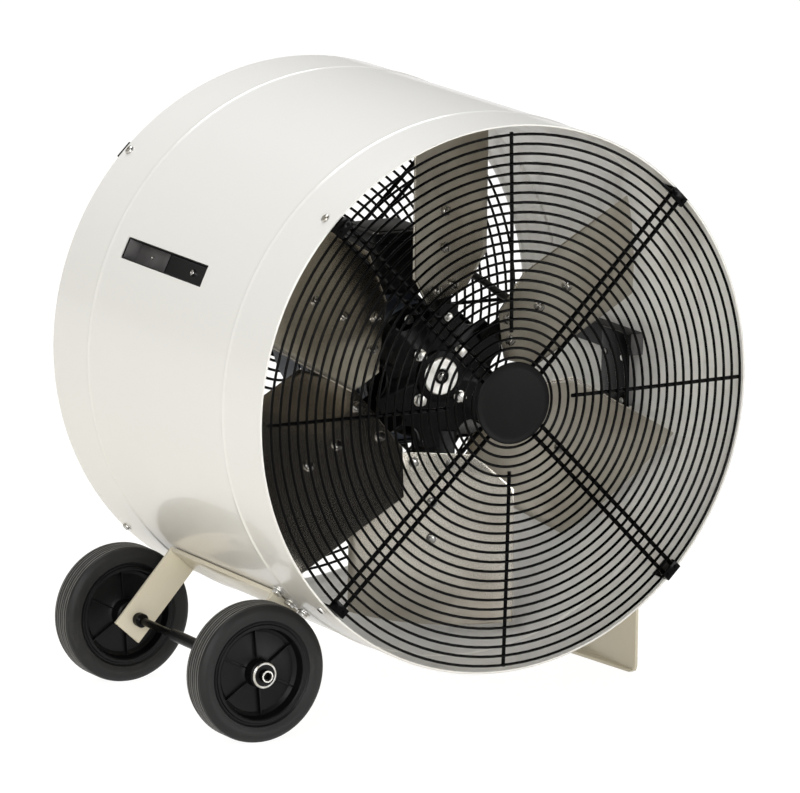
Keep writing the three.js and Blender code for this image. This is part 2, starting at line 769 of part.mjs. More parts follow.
// The upright plates on the strap's ends.
function strapEnd(name, side) {
  const bottom = STRAP_TOP + CLEARANCE;
  const height = STRAP_END_TOP - bottom;
  const plate = block(STRAP_THICKNESS, STRAP_END_WIDTH, height);
  const x = side * (STRAP_END_X + STRAP_THICKNESS / 2);
  const place = [x, STRAP_FRONT + STRAP_END_WIDTH / 2, bottom + height / 2];
  return piece(name, plate, BLACK_GLOSS(), place);
}

function motor() {
  return [
    motorHousing(),
    motorShield("motor_front_shield", MOTOR_FRONT - SHIELD_THICKNESS - CLEARANCE, 6),
    motorShield("motor_rear_shield", MOTOR_REAR + CLEARANCE, 0),
    motorCowl(),
    ...terminalBox(),
    supplyLead(),
    supplyGland(),
    motorStrap(),
    strapEnd("strap_end_left", -1),
    strapEnd("strap_end_right", 1),
  ];
}

// ---- Wheels

// A turned shape with a flat of the full radius facing down, so that a wheel stands on it.
function flatSided(points) {
  const halfStep = Math.PI / WHEEL_SEGMENTS;
  const outline = points.map(([r, y]) => [r / Math.cos(halfStep), y]);
  return turned(outline, WHEEL_SEGMENTS).rotateY(halfStep);
}

function tyre(name, y) {
  const half = TYRE_WIDTH / 2;
  const outline = [
    [RIM_RADIUS + CLEARANCE, -half + 3],
    [WHEEL_RADIUS - 9, -half],
    [WHEEL_RADIUS, -half + 8],
    [WHEEL_RADIUS, half - 8],
    [WHEEL_RADIUS - 9, half],
    [RIM_RADIUS + CLEARANCE, half - 3],
  ];
  return piece(name, flatSided(outline), RUBBER(), [AXLE_X, y, AXLE_Z]);
}

function wheelHub(name, y) {
  const rim = RIM_WIDTH / 2;
  const web = WEB_THICKNESS / 2;
  const core = HUB_CORE_LENGTH / 2;
  const bore = AXLE_RADIUS + 0.5;
  const outline = [
    [bore, -core],
    [HUB_CORE_RADIUS, -core],
    [HUB_CORE_RADIUS, -web],
    [RIM_INSIDE, -web],
    [RIM_INSIDE, -rim],
    [RIM_RADIUS, -rim],
    [RIM_RADIUS, rim],
    [RIM_INSIDE, rim],
    [RIM_INSIDE, web],
    [HUB_CORE_RADIUS, web],
    [HUB_CORE_RADIUS, core],
    [bore, core],
  ];
  return piece(name, flatSided(outline), BLACK_PLASTIC(), [AXLE_X, y, AXLE_Z]);
}

function axleWasher(name, y) {
  const inside = AXLE_RADIUS + CLEARANCE;
  const outline = [
    [inside, -WASHER_THICKNESS / 2],
    [WASHER_RADIUS, -WASHER_THICKNESS / 2],
    [WASHER_RADIUS, WASHER_THICKNESS / 2],
    [inside, WASHER_THICKNESS / 2],
  ];
  return piece(name, turned(outline, 24), ZINC(), [AXLE_X, y, AXLE_Z]);
}

function wheels() {
  const washerY = WHEEL_Y + HUB_CORE_LENGTH / 2 + CLEARANCE + 0.2 + WASHER_THICKNESS / 2;
  const parts = [piece("axle", rod(AXLE_RADIUS, 2 * AXLE_END, 16), BLACK_GLOSS(), [AXLE_X, 0, AXLE_Z])];
  for (const [end, side] of [["front", -1], ["rear", 1]]) {
    parts.push(
      tyre(end + "_tyre", side * WHEEL_Y),
      wheelHub(end + "_wheel_hub", side * WHEEL_Y),
      axleWasher(end + "_axle_washer", side * washerY),
    );
  }
  return parts;
}

// A flat rail along the drum, with a flat leg at each end that reaches out to the axle.
function axleBracket() {
  const axleDistance = Math.hypot(AXLE_X, AXLE_Z);
  const inner = DRUM_RADIUS + 0.8;
  const end = axleDistance + BRACKET_BEYOND_AXLE;
  const legY = BRACKET_HALF_SPAN - BRACKET_THICKNESS / 2;
  const railLength = 2 * (BRACKET_HALF_SPAN - BRACKET_THICKNESS - CLEARANCE);
  const rail = block(BRACKET_THICKNESS, railLength, BRACKET_WIDTH);
  rail.translate(inner + BRACKET_THICKNESS / 2, 0, 0);
  const hole = rod(AXLE_RADIUS + CLEARANCE + 0.2, BRACKET_THICKNESS + 20, 16);
  const leg = cut(
    block(end - inner, BRACKET_THICKNESS, BRACKET_WIDTH).translate((inner + end) / 2, 0, 0),
    hole.translate(axleDistance, 0, 0),
  );
  return radialGroup(
    BRACKET_ANGLE,
    piece("bracket_rail", rail, CREAM_PAINT()),
    piece("bracket_front_leg", leg, CREAM_PAINT(), [0, -legY, 0]),
    piece("bracket_rear_leg", leg, CREAM_PAINT(), [0, legY, 0]),
  );
}

// Bolts through the drum's wall, their heads in a row in front of the bracket's front leg.
function bracketBolts() {
  const step = BRACKET_BOLT_SPACING / DRUM_RADIUS / DEGREE;
  const out = DRUM_RADIUS + CLEARANCE + BOLT_HEIGHT / 2;
  return [-1, 0, 1].map((i) => {
    const bolt = radialRod(BOLT_RADIUS, BOLT_HEIGHT, 6);
    const place = [out, -BRACKET_HALF_SPAN - BRACKET_BOLT_FROM_LEG, 0];
    return radialGroup(BRACKET_ANGLE + i * step, piece(`bracket_bolt_${i + 2}`, bolt, ZINC(), place));
  });
}

// ---- Foot

// The foot's section across the drum: a flange on the floor, an upright web and a top along the drum.
function footPlate() {
  const cos = Math.cos(FOOT_TOP_ANGLE * DEGREE);
  const sin = Math.sin(FOOT_TOP_ANGLE * DEGREE);
  const onTop = (radius, along) => [radius * cos - along * sin, radius * sin + along * cos];
  const near = DRUM_RADIUS + 0.8;
  const far = near + FOOT_THICKNESS;
  const outer = FOOT_X + FOOT_THICKNESS;
  const bendNear = onTop(near, -FOOT_TOP_HALF);
  const bendFar = onTop(far, -FOOT_TOP_HALF);
  const section = [
    [FOOT_X - FOOT_FLANGE_REAR + FOOT_THICKNESS, FLOOR],
    [outer, FLOOR],
    [outer, bendFar[1]],
    onTop(far, FOOT_TOP_HALF),
    onTop(near, FOOT_TOP_HALF),
    [FOOT_X, bendNear[1]],
    [FOOT_X, FLOOR + FOOT_THICKNESS],
    [FOOT_X - FOOT_FLANGE_REAR + FOOT_THICKNESS, FLOOR + FOOT_THICKNESS],
  ];
  const plate = drawnAlongY(section, -FOOT_HALF_LENGTH, 2 * FOOT_HALF_LENGTH);
  const taper = new THREE.Shape([
    new THREE.Vector2(outer - FOOT_FLANGE_REAR, FOOT_HALF_LENGTH + 1),
    new THREE.Vector2(outer - FOOT_FLANGE_REAR - 20, FOOT_HALF_LENGTH + 1),
    new THREE.Vector2(outer - FOOT_FLANGE_REAR - 20, -FOOT_HALF_LENGTH - 1),
    new THREE.Vector2(outer - FOOT_FLANGE_FRONT, -FOOT_HALF_LENGTH - 1),
  ]);
  const cutter = new THREE.ExtrudeGeometry(taper, { depth: 12, bevelEnabled: false });
  cutter.translate(0, 0, FLOOR - 3);
  return piece("foot", cut(plate, cutter), CREAM_PAINT());
}

// ---- The whole fan, its lowest point at z = 0 and its bounding box centred on the Z axis

const GLAND_REACH = (DRUM_RADIUS + CLEARANCE + GLAND_LENGTH) * Math.cos(GLAND_ANGLE * DEGREE);
const FAR_RIGHT = GLAND_REACH + GLAND_RADIUS * Math.sin(GLAND_ANGLE * DEGREE);
const WIDTH_CENTRE = (AXLE_X - WHEEL_RADIUS + FAR_RIGHT) / 2;
const fan = new THREE.Group();
fan.position.set(-WIDTH_CENTRE, 0, -FLOOR);
fan.add(
  drumShell(),
  ...HANDLES.map(handleCup),
  ...guards(),
  impeller(),
  ...motor(),
  ...wheels(),
  axleBracket(),
  ...bracketBolts(),
  footPlate(),
);

export default fan;
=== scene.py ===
import math

import bpy
from mathutils import Matrix, Vector


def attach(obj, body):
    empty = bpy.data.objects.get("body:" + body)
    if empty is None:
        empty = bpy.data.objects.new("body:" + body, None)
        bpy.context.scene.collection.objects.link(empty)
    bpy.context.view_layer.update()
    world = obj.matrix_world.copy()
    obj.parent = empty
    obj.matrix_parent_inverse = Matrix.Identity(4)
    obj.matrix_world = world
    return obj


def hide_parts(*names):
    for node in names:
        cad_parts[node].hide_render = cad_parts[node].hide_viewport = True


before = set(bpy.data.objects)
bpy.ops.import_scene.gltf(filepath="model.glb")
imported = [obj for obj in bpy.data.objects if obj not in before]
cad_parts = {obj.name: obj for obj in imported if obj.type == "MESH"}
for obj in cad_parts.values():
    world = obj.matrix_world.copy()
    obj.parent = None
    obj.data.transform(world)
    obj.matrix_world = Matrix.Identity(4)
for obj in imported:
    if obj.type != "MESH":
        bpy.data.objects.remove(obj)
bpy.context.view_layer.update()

# Shapes are drawn about the drum's axis: x to the right, y from the front rim to the rear rim and
# z up, in millimetres, with the origin in the middle of the drum. finished() carries each piece to
# the drum's place in the frame.
MM = 0.001
AXIS = Vector((10.18, 0.0, 383.0)) * MM
FRONT = -250.0
REAR = 250.0
DIAGONALS = (45, 135, 225, 315)        # angles round the axis: 0 is right, 90 is up

DRUM_RADIUS = 315.0
DRUM_INSIDE = 312.5
BEADS = (FRONT + 88, REAR - 88)
BEAD_WIDTH = 9.0
BEAD_HEIGHT = 1.1
SLOT_LENGTH = 192.0
SLOT_HEIGHT = 26.0
HANDLES = {"handle_cup_left": (155, FRONT + 284.5), "handle_cup_right": (-0.8, FRONT + 318)}

RING_COUNT = 24
RING_FIRST = 51.5
RING_LAST = 304.5
RING_WIRE = 1.65       # radii of the wires
SPOKE_WIRE = 2.5
SINGLE_WIRE = 2.2
SPOKE_SPACING = 14.0
GUARD_PROUD = 7.2
GUARD_DOME = 7.4
DISC_RADIUS = 47.0

IMPELLER_Y = FRONT + 149
BLADE_ANGLES = (90, 30, -30, -90, -150, 150)
BLADE_PITCH = 34.3
BLADE_CHORD = 189.0
BLADE_MIDDLE = 8.0     # the blade's middle across the chord, from the radius
BLADE_CAMBER = 7.0
BLADE_ROOT = 90.0      # radii of the root, the widest part's start, the straight rows' end and the tip
BLADE_SHOULDER = 128.0
BLADE_ROWS_END = 283.0
BLADE_TIP = 291.0
BLADE_ROOT_WIDTH = 96.0
BLADE_SHEET = 2.0
BLADE_BOLTS = ((101.5, 21.5), (101.5, -21.5), (148, 0), (190, 0))     # radius, and place across
SPIDER_FRONT = IMPELLER_Y + 3
SPIDER_RADIUS = 84.0
HUB_BOLT_RADIUS = 37.0

MOTOR_FRONT = FRONT + 192
MOTOR_REAR = MOTOR_FRONT + 142
STRAP_TOP = -87.1
STRAP_MIDDLE = FRONT + 252.7
BOX_MIDDLE = MOTOR_FRONT + 90
BOX_BOTTOM = 78.3
GLAND_ANGLE = 6.0
GLAND_Y = FRONT + 440
LEAD_RADIUS = 4.4

WHEEL_RADIUS = 80.0
WHEEL_Y = 161.0
WHEEL_PLACE = (-270.0, 0.0, -303.0)    # the axle, from the drum's axis
WHEEL_AXIS = Vector(WHEEL_PLACE) * MM + AXIS
BRACKET_ANGLE = math.degrees(math.atan2(WHEEL_PLACE[2], WHEEL_PLACE[0]))
LEG_Y = 122.5
FLOOR = -383.0


# ---- Modelling

def deselect():
    """Leaves edit mode and empties the selection."""
    if bpy.context.object and bpy.context.object.mode != "OBJECT":
        bpy.ops.object.mode_set(mode="OBJECT")
    bpy.ops.object.select_all(action="DESELECT")


def pick(piece):
    deselect()
    piece.select_set(True)
    bpy.context.view_layer.objects.active = piece


def edit(piece):
    """Opens a piece in edit mode with all of it selected."""
    pick(piece)
    bpy.ops.object.mode_set(mode="EDIT")
    bpy.ops.mesh.select_mode(type="VERT")
    bpy.ops.mesh.select_all(action="SELECT")


def done():
    bpy.ops.object.mode_set(mode="OBJECT")


def column(piece, x):
    """The numbers of the vertices that stand at x, in millimetres."""
    return {v.index for v in piece.data.vertices if abs(v.co.x - x * MM) < 1e-5}


def edit_only(piece, indices):
    """Opens a piece with only these vertices selected, and the edges between them."""
    pick(piece)
    for face in piece.data.polygons:
        face.select = False
    for edge in piece.data.edges:
        edge.select = indices.issuperset(edge.vertices)
    for vertex in piece.data.vertices:
        vertex.select = vertex.index in indices
    bpy.ops.object.mode_set(mode="EDIT")


def named(name):
    piece = bpy.context.object
    piece.name = name
    piece.data.name = name
    return piece


def settle(piece):
    """Puts the piece's place and turn into its mesh."""
    pick(piece)
    bpy.ops.object.transform_apply(location=True, rotation=True, scale=True)
    return piece


def moved(piece, place=(0, 0, 0), turn=(0, 0, 0)):
    """Moves a settled piece by millimetres, after turning it by degrees about the axes."""
    piece.rotation_euler = [math.radians(a) for a in turn]
    piece.location = Vector(place) * MM
    return settle(piece)


def to_angle(piece, angle):
    """Turns a piece drawn along +x to an angle round the drum's axis: 0 is right, 90 is up."""
    return moved(piece, turn=(0, -angle, 0))


def copied(piece, name):
    pick(piece)
    bpy.ops.object.duplicate(linked=False)
    return named(name)


def joined(name, pieces):
    deselect()
    for piece in pieces:
        piece.select_set(True)
    bpy.context.view_layer.objects.active = pieces[0]
    bpy.ops.object.join()
    return named(name)


def modified(piece, kind, **settings):
    pick(piece)
    modifier = piece.modifiers.new(kind.title(), kind)
    for key, value in settings.items():
        setattr(modifier, key, value)
    bpy.ops.object.modifier_apply(modifier=modifier.name)
    return piece


def bevelled(piece, width, segments=2, angle=30):
    return modified(
        piece, "BEVEL", width=width * MM, segments=segments,
        limit_method="ANGLE", angle_limit=math.radians(angle), harden_normals=False,
    )


def cut(piece, *tools):
    for tool in tools:
        modified(piece, "BOOLEAN", operation="DIFFERENCE", solver="EXACT", object=tool)
        bpy.data.objects.remove(tool)
    return piece


def smooth(piece, angle=35):
    pick(piece)
    bpy.ops.object.shade_smooth_by_angle(angle=math.radians(angle))
    return piece


def outward(piece):
    """Merges doubled vertices and turns the faces outwards."""
    edit(piece)
    bpy.ops.mesh.remove_doubles(threshold=1e-6)
    bpy.ops.mesh.normals_make_consistent(inside=False)
    done()
    return piece


def chain(points):
    """Starts a mesh as a line of vertices, extruded from one vertex to the next."""
    deselect()
    bpy.ops.mesh.primitive_plane_add(size=0.01)
    bpy.ops.object.mode_set(mode="EDIT")
    bpy.ops.mesh.select_all(action="SELECT")
    bpy.ops.mesh.merge(type="CENTER")
    places = [Vector(p) * MM for p in points]
    bpy.ops.transform.translate(value=places[0])
    for before, after in zip(places, places[1:]):
        bpy.ops.mesh.extrude_region_move(TRANSFORM_OT_translate={"value": after - before})
    bpy.ops.mesh.select_all(action="SELECT")


def turned(name, outline, steps=96, centre=(0, 0, 0)):
    """A closed outline of (radius, y) points, turned about the y axis."""
    points = [(r, y, 0) for r, y in outline]
    chain(points + points[:1])
    bpy.ops.mesh.remove_doubles(threshold=1e-7)
    bpy.ops.mesh.select_all(action="SELECT")
    bpy.ops.mesh.spin(steps=steps, angle=2 * math.pi, center=(0, 0, 0), axis=(0, 1, 0))
    done()
    piece = outward(named(name))
    return moved(piece, centre)


def prism(name, outline, reach):
    """A flat outline of (x, y, z) points, extruded by a vector."""
    chain(outline + outline[:1])
    bpy.ops.mesh.remove_doubles(threshold=1e-7)
    bpy.ops.mesh.select_all(action="SELECT")
    bpy.ops.mesh.edge_face_add()
    bpy.ops.mesh.extrude_region_move(TRANSFORM_OT_translate={"value": Vector(reach) * MM})
    done()
    return outward(named(name))


def mirrored(outline):
    """An outline's points on the other side of y = 0, in the order that carries it on."""
    return [(r, -y) for r, y in reversed(outline)]


def ringed(name, piece, angles):
    """Copies a piece to angles round the drum's axis, as one piece."""
    copies = [to_angle(copied(piece, name), angle) for angle in angles]
    bpy.data.objects.remove(piece)
    return joined(name, copies)


def tube(name, route, radius):
    """A round lead on a smooth curve through the route's points."""
    curve = bpy.data.curves.new(name, "CURVE")
    curve.dimensions = "3D"
    curve.bevel_depth = radius * MM
    curve.bevel_resolution = 4
    curve.use_fill_caps = True
    spline = curve.splines.new("BEZIER")
    spline.bezier_points.add(len(route) - 1)
    for point, place in zip(spline.bezier_points, route):
        point.co = Vector(place) * MM
        point.handle_left_type = point.handle_right_type = "AUTO"
    piece = bpy.data.objects.new(name, curve)
    bpy.context.collection.objects.link(piece)
    pick(piece)
    bpy.ops.object.convert(target="MESH")
    return outward(named(name))


def block(name, size, centre, bevel=0.0, segments=2):
    deselect()
    bpy.ops.mesh.primitive_cube_add(size=1, location=Vector(centre) * MM, scale=Vector(size) * MM)
    piece = settle(named(name))
    return bevelled(piece, bevel, segments) if bevel else piece


def rod(name, radius, length, centre, along="X", sides=24, bevel=0.0):
    """A cylinder along an axis, its ends bevelled."""
    turn = {"X": (0, math.pi / 2, 0), "Y": (math.pi / 2, 0, 0), "Z": (0, 0, 0)}[along]
    deselect()
    bpy.ops.mesh.primitive_cylinder_add(
        vertices=sides, radius=radius * MM, depth=length * MM,
        location=Vector(centre) * MM, rotation=turn,
    )
    piece = settle(named(name))
    return bevelled(piece, bevel, 2, 50) if bevel else piece


def bent_rod(name, points, radius, sides=10):
    """A wire through points, extruded from a disc that faces along x."""
    deselect()
    places = [Vector(p) * MM for p in points]
    bpy.ops.mesh.primitive_circle_add(
        vertices=sides, radius=radius * MM, fill_type="NGON",
        location=places[0], rotation=(0, math.pi / 2, 0),
    )
    piece = settle(named(name))
    edit(piece)
    for before, after in zip(places, places[1:]):
        bpy.ops.mesh.extrude_region_move(TRANSFORM_OT_translate={"value": after - before})
    done()
    return outward(piece)


def hex_bolt(name, across, height, washer):
    """A hexagon head on a washer, standing on y = 0 and facing -y."""
    head = rod(name + "_head", across / math.sqrt(3), height, (0, -1.2 - height / 2, 0), "Y", 6)
    bevelled(head, 0.5)
    outline = [(0, 0), (washer, 0), (washer, -1), (washer - 0.4, -1.3), (0, -1.3)]
    return joined(name, [head, turned(name + "_washer", outline, 24)])


def pan_screw(name, radius, height, x):
    """A domed screw head with a cross recess, standing on the plane x and facing +x."""
    head = turned(
        name,
        [(0, 0), (radius, 0), (radius, 0.3 * height), (0.86 * radius, 0.7 * height),
         (0.5 * radius, 0.95 * height), (0, height)],
        24,
    )
    for angle in (0, 90):
        slot = block("recess", (1.4 * radius, height, 0.28 * radius), (0, height, 0))
        cut(head, moved(slot, turn=(0, angle, 0)))
    return moved(moved(head, turn=(0, 0, -90)), (x, 0, 0))


# ---- Materials

class Number:
    """A value that changes over a surface. Arithmetic on it adds Math nodes."""

    def __init__(self, finish, socket):
        self.finish = finish
        self.socket = socket

    def math(self, operation, *values):
        node = self.finish.node("ShaderNodeMath", {"operation": operation}, dict(enumerate(values)))
        return Number(self.finish, node.outputs[0])

    def __add__(self, other):
        return self.math("ADD", self, other)

    def __radd__(self, other):
        return self.math("ADD", other, self)

    def __sub__(self, other):
        return self.math("SUBTRACT", self, other)

    def __rsub__(self, other):
        return self.math("SUBTRACT", other, self)

    def __mul__(self, other):
        return self.math("MULTIPLY", self, other)

    def __rmul__(self, other):
        return self.math("MULTIPLY", other, self)

    def __pow__(self, other):
        return self.math("POWER", self, other)

    def between(self, low, high):
        """0 below low, 1 above high, and a smooth step between."""
        step = self.finish.node(
            "ShaderNodeMapRange", {"interpolation_type": "SMOOTHSTEP"},
            {"Value": self, "From Min": low, "From Max": high, "To Min": 0.0, "To Max": 1.0},
        )
        return Number(self.finish, step.outputs[0])

    def size(self):
        return self.math("ABSOLUTE", self)

    def sine(self):
        return self.math("SINE", self)


class Finish:
    """A material and the nodes that colour it."""

    def __init__(self, name, colour=(0.5, 0.5, 0.5), roughness=0.5, metallic=0.0, **constants):
        self.material = bpy.data.materials.new(name)
        self.material.use_nodes = True
        self.tree = self.material.node_tree
        self.shader = self.tree.nodes["Principled BSDF"]
        self.shader.inputs["Base Color"].default_value = (*colour, 1)
        self.shader.inputs["Roughness"].default_value = roughness
        self.shader.inputs["Metallic"].default_value = metallic
        for key, value in constants.items():
            self.shader.inputs[key.replace("_", " ")].default_value = value

    def node(self, kind, settings=None, inputs=None):
        node = self.tree.nodes.new(kind)
        for key, value in (settings or {}).items():
            setattr(node, key, value)
        for key, value in (inputs or {}).items():
            self.feed(node.inputs[key], value)
        return node

    def feed(self, socket, value):
        if isinstance(value, Number):
            self.tree.links.new(value.socket, socket)
        elif isinstance(value, bpy.types.NodeSocket):
            self.tree.links.new(value, socket)
        elif isinstance(value, (tuple, list)) and len(value) == 3 and socket.type == "RGBA":
            socket.default_value = (*value, 1)
        else:
            socket.default_value = value

    def place(self, centre=(0, 0, 0), turn=(0, 0, 0), scale=(1, 1, 1)):
        """Object coordinates about a centre, in metres, turned and stretched."""
        coordinates = self.node("ShaderNodeTexCoord").outputs["Object"]
        from_centre = self.node(
            "ShaderNodeVectorMath", {"operation": "SUBTRACT"}, {0: coordinates, 1: tuple(centre)}
        ).outputs[0]
        mapping = self.node(
            "ShaderNodeMapping", None,
            {"Vector": from_centre, "Rotation": tuple(math.radians(a) for a in turn), "Scale": scale},
        )
        return mapping.outputs[0]

    def round_axis(self, vector):
        """The radius from the y axis, the place along it and the height above it."""
        split = self.node("ShaderNodeSeparateXYZ", None, {0: vector})
        x, y, z = [Number(self, output) for output in split.outputs]
        return (x * x + z * z) ** 0.5, y, z

    def noise(self, vector, scale, detail=2.0, roughness=0.5):
        node = self.node(
            "ShaderNodeTexNoise", None,
            {"Vector": vector, "Scale": scale, "Detail": detail, "Roughness": roughness},
        )
        return Number(self, node.outputs[0])

    def spots(self, vector, scale):
        node = self.node("ShaderNodeTexVoronoi", None, {"Vector": vector, "Scale": scale})
        return Number(self, node.outputs["Distance"])

    def mixed(self, factor, first, second):
        node = self.node("ShaderNodeMix", {"data_type": "RGBA"}, None)
        for key, value in ((0, factor), (6, first), (7, second)):
            self.feed(node.inputs[key], value)
        return node.outputs[2]

    def colour(self, value):
        self.feed(self.shader.inputs["Base Color"], value)

    def rough(self, value):
        self.feed(self.shader.inputs["Roughness"], value)

    def bump(self, height, strength, distance):
        node = self.node(
            "ShaderNodeBump", None,
            {"Height": height, "Strength": strength, "Distance": distance},
        )
        self.feed(self.shader.inputs["Normal"], node.outputs[0])


def enamel(name, colour, shade, roughness, inside=None):
    """Sprayed enamel: orange peel, a darker, warmer painted shade in patches over the lower half of the
    outside, and a paler inside colour that is painted light.
    """
    finish = Finish(name, colour, roughness, Coat_Weight=0.4, Coat_Roughness=0.07)
    here = finish.place(AXIS)
    radius, _, z = finish.round_axis(here)
    outside = radius.between((DRUM_INSIDE + 0.7) * MM, (DRUM_RADIUS - 0.8) * MM)
    cloud = finish.noise(here, 7.0, 4.0)
    speck = finish.spots(here, 160.0)
    # A darker, warmer tone in patches over the lower half of the outside is painted shade.
    lower_shade = (1 - z.between(-0.33, 0.0)) * (0.4 + 0.6 * cloud.between(0.35, 0.75))
    # The inside colour, paler than the outside, is painted light inside the drum.
    ground = finish.mixed(outside, inside or colour, colour)
    toned = finish.mixed(lower_shade * outside * 0.5, ground, shade)
    mark = (1 - speck.between(0.04, 0.09)) * cloud.between(0.52, 0.6)
    finish.colour(finish.mixed(mark * 0.25, toned, tuple(0.45 * c for c in shade)))
    finish.rough(roughness + cloud * 0.1)
    finish.bump(finish.noise(here, 420.0, 1.0), 0.06, 0.0006)
    return finish.material


def black_enamel(name, roughness, tone, gloss):
    """Black coating, worn a little paler in patches."""
    finish = Finish(name, (tone, tone, tone), roughness, Specular_IOR_Level=gloss)
    here = finish.place()
    cloud = finish.noise(here, 40.0, 3.0)
    worn = (2.6 * tone, 2.5 * tone, 2.5 * tone)
    finish.colour(finish.mixed(cloud.between(0.4, 0.8) * 0.5, (tone, tone, tone), worn))
    finish.rough(roughness + cloud * 0.1)
    finish.bump(finish.noise(here, 900.0, 1.0), 0.08, 0.0003)
    return finish.material


def moulded(name, colour, roughness):
    """Plastic with a fine eroded grain."""
    finish = Finish(name, colour, roughness, Specular_IOR_Level=0.18)
    here = finish.place()
    cloud = finish.noise(here, 25.0, 4.0)
    finish.colour(finish.mixed(cloud.between(0.35, 0.8) * 0.6, colour, tuple(2.2 * c for c in colour)))
    finish.rough(roughness + (cloud - 0.5) * 0.15)
    finish.bump(finish.noise(here, 1600.0, 2.0), 0.25, 0.0002)
    return finish.material


def tyre_rubber():
    """Rubber with scuffs, and with the light catching the edges of the tread's grooves."""
    finish = Finish("grooved_rubber", (0.02, 0.02, 0.02), 0.62, Specular_IOR_Level=0.3)
    here = finish.place()
    cloud = finish.noise(here, 18.0, 5.0)
    scuff = finish.noise(finish.place(scale=(1, 6, 1)), 60.0, 3.0)
    worn = cloud.between(0.45, 0.75) * scuff.between(0.4, 0.7)
    plain = finish.mixed(worn * 0.7, (0.009, 0.009, 0.009), (0.036, 0.035, 0.032))
    radius, y, _ = finish.round_axis(finish.place(WHEEL_AXIS))
    across = (y.size() - WHEEL_Y * MM).size()
    edges = 0.0
    for ridge in (2.2, 7.3, 11.7):
        edges = edges + (1 - (across - ridge * MM).size().between(0.0004, 0.0009))
    lit = edges * radius.between(0.0785, 0.0795) * (0.3 + scuff * 0.9)
    finish.colour(finish.mixed(lit, plain, (0.17, 0.165, 0.155)))
    finish.rough(0.5 + worn * 0.25)
    finish.bump(finish.noise(here, 900.0, 3.0), 0.3, 0.0003)
    return finish.material


def mill_sheet():
    """Bare rolled sheet: fine streaks one way, faint stains."""
    finish = Finish("rolled_sheet", (0.52, 0.49, 0.43), 0.2, 1.0)
    here = finish.place()
    streak = finish.noise(finish.place(turn=(0, 30, 0), scale=(1, 40, 1)), 30.0, 3.0)
    stain = finish.noise(here, 9.0, 4.0)
    finish.colour(finish.mixed(stain.between(0.35, 0.75), (0.58, 0.55, 0.49), (0.40, 0.365, 0.31)))
    finish.rough(0.14 + stain * 0.1 + streak * 0.05)
    finish.bump(streak, 0.05, 0.0003)
    return finish.material


def zinc_plate(name, bright, dull, roughness=0.2):
    """Plated steel, bright in places and dull in others."""
    finish = Finish(name, bright, roughness, 1.0)
    here = finish.place()
    cloud = finish.noise(here, 120.0, 3.0)
    finish.colour(finish.mixed(cloud.between(0.35, 0.7), bright, dull))
    finish.rough(roughness + cloud * 0.2)
    finish.bump(finish.noise(here, 1500.0, 2.0), 0.1, 0.0002)
    return finish.material


def turned_steel():
    """A face turned on a lathe: fine rings about the impeller's axis."""
    finish = Finish("turned_steel", (0.7, 0.69, 0.66), 0.3, 1.0)
    here = finish.place(AXIS)
    radius, _, _ = finish.round_axis(here)
    cloud = finish.noise(here, 60.0, 3.0)
    finish.colour(finish.mixed(cloud.between(0.3, 0.8), (0.78, 0.77, 0.74), (0.50, 0.48, 0.43)))
    finish.rough(0.25 + cloud * 0.15)
    finish.bump((radius * 9000.0).sine(), 0.15, 0.0001)
    return finish.material


def cast_paint():
    """Blue-grey machine enamel over a cast skin, dusty in patches."""
    finish = Finish("painted_casting", (0.05, 0.07, 0.105), 0.45, Specular_IOR_Level=0.4)
    here = finish.place()
    cloud = finish.noise(here, 30.0, 4.0)
    finish.colour(finish.mixed(cloud.between(0.35, 0.75), (0.020, 0.028, 0.043), (0.040, 0.050, 0.067)))
    finish.rough(0.38 + cloud * 0.2)
    finish.bump(finish.noise(here, 350.0, 4.0), 0.35, 0.0006)
    return finish.material


def lead_sheath():
    """Smooth black sheath with a faint lay under it."""
    finish = Finish("lead_sheath", (0.01, 0.01, 0.01), 0.5, Specular_IOR_Level=0.4)
    here = finish.place()
    cloud = finish.noise(here, 50.0, 3.0)
    finish.colour(finish.mixed(cloud.between(0.4, 0.8), (0.008, 0.008, 0.008), (0.02, 0.019, 0.019)))
    finish.rough(0.42 + cloud * 0.18)
    finish.bump(finish.noise(here, 700.0, 2.0), 0.12, 0.0003)
    return finish.material


# The white's paler inside colour is painted light and its greyer outside colour is painted shade: one
# paint, lit and shaded.
WHITE = enamel("white_enamel", (0.715, 0.71, 0.69), (0.68, 0.61, 0.49), 0.28, (0.93, 0.92, 0.88))
CREAM = enamel("cream_enamel", (0.66, 0.615, 0.495), (0.48, 0.43, 0.32), 0.36)
WIRE = black_enamel("black_wire_coat", 0.1, 0.0005, 0.06)
DISC = black_enamel("black_disc_coat", 0.36, 0.0016, 0.1)
STEEL = black_enamel("black_steel_coat", 0.2, 0.0012, 0.09)
PLASTIC = moulded("black_moulding", (0.0024, 0.0024, 0.0027), 0.42)
# A paler grey copy of the black moulding, for painted light on the handle cups.
PAINTED_LIGHT_PLASTIC = moulded("painted_light_grey_moulding", (0.085, 0.082, 0.082), 0.5)
RUBBER = tyre_rubber()
SHEET = mill_sheet()
ZINC = zinc_plate("zinc_plate", (0.72, 0.71, 0.69), (0.46, 0.44, 0.38))
# A darker copy of the zinc plating, for the impeller's bolts in the drum's shaded inside: painted shade.
SHADED_ZINC = zinc_plate("painted_shade_zinc_plate", (0.42, 0.41, 0.39), (0.13, 0.125, 0.115), 0.08)
TURNED = turned_steel()
CASTING = cast_paint()
LEAD = lead_sheath()


def finished(piece, material, body, slot, *nodes, sharp=35):
    """Carries a piece to the drum's axis, paints it, ties it to its body and hides the CAD nodes it stands
    for.
    """
    smooth(piece, sharp)
    piece.location = AXIS
    settle(piece)
    piece.data.materials.clear()
    piece.data.materials.append(material)
    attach(piece, body)
    if nodes:
        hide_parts(*nodes)
    return piece


# ---- Drum

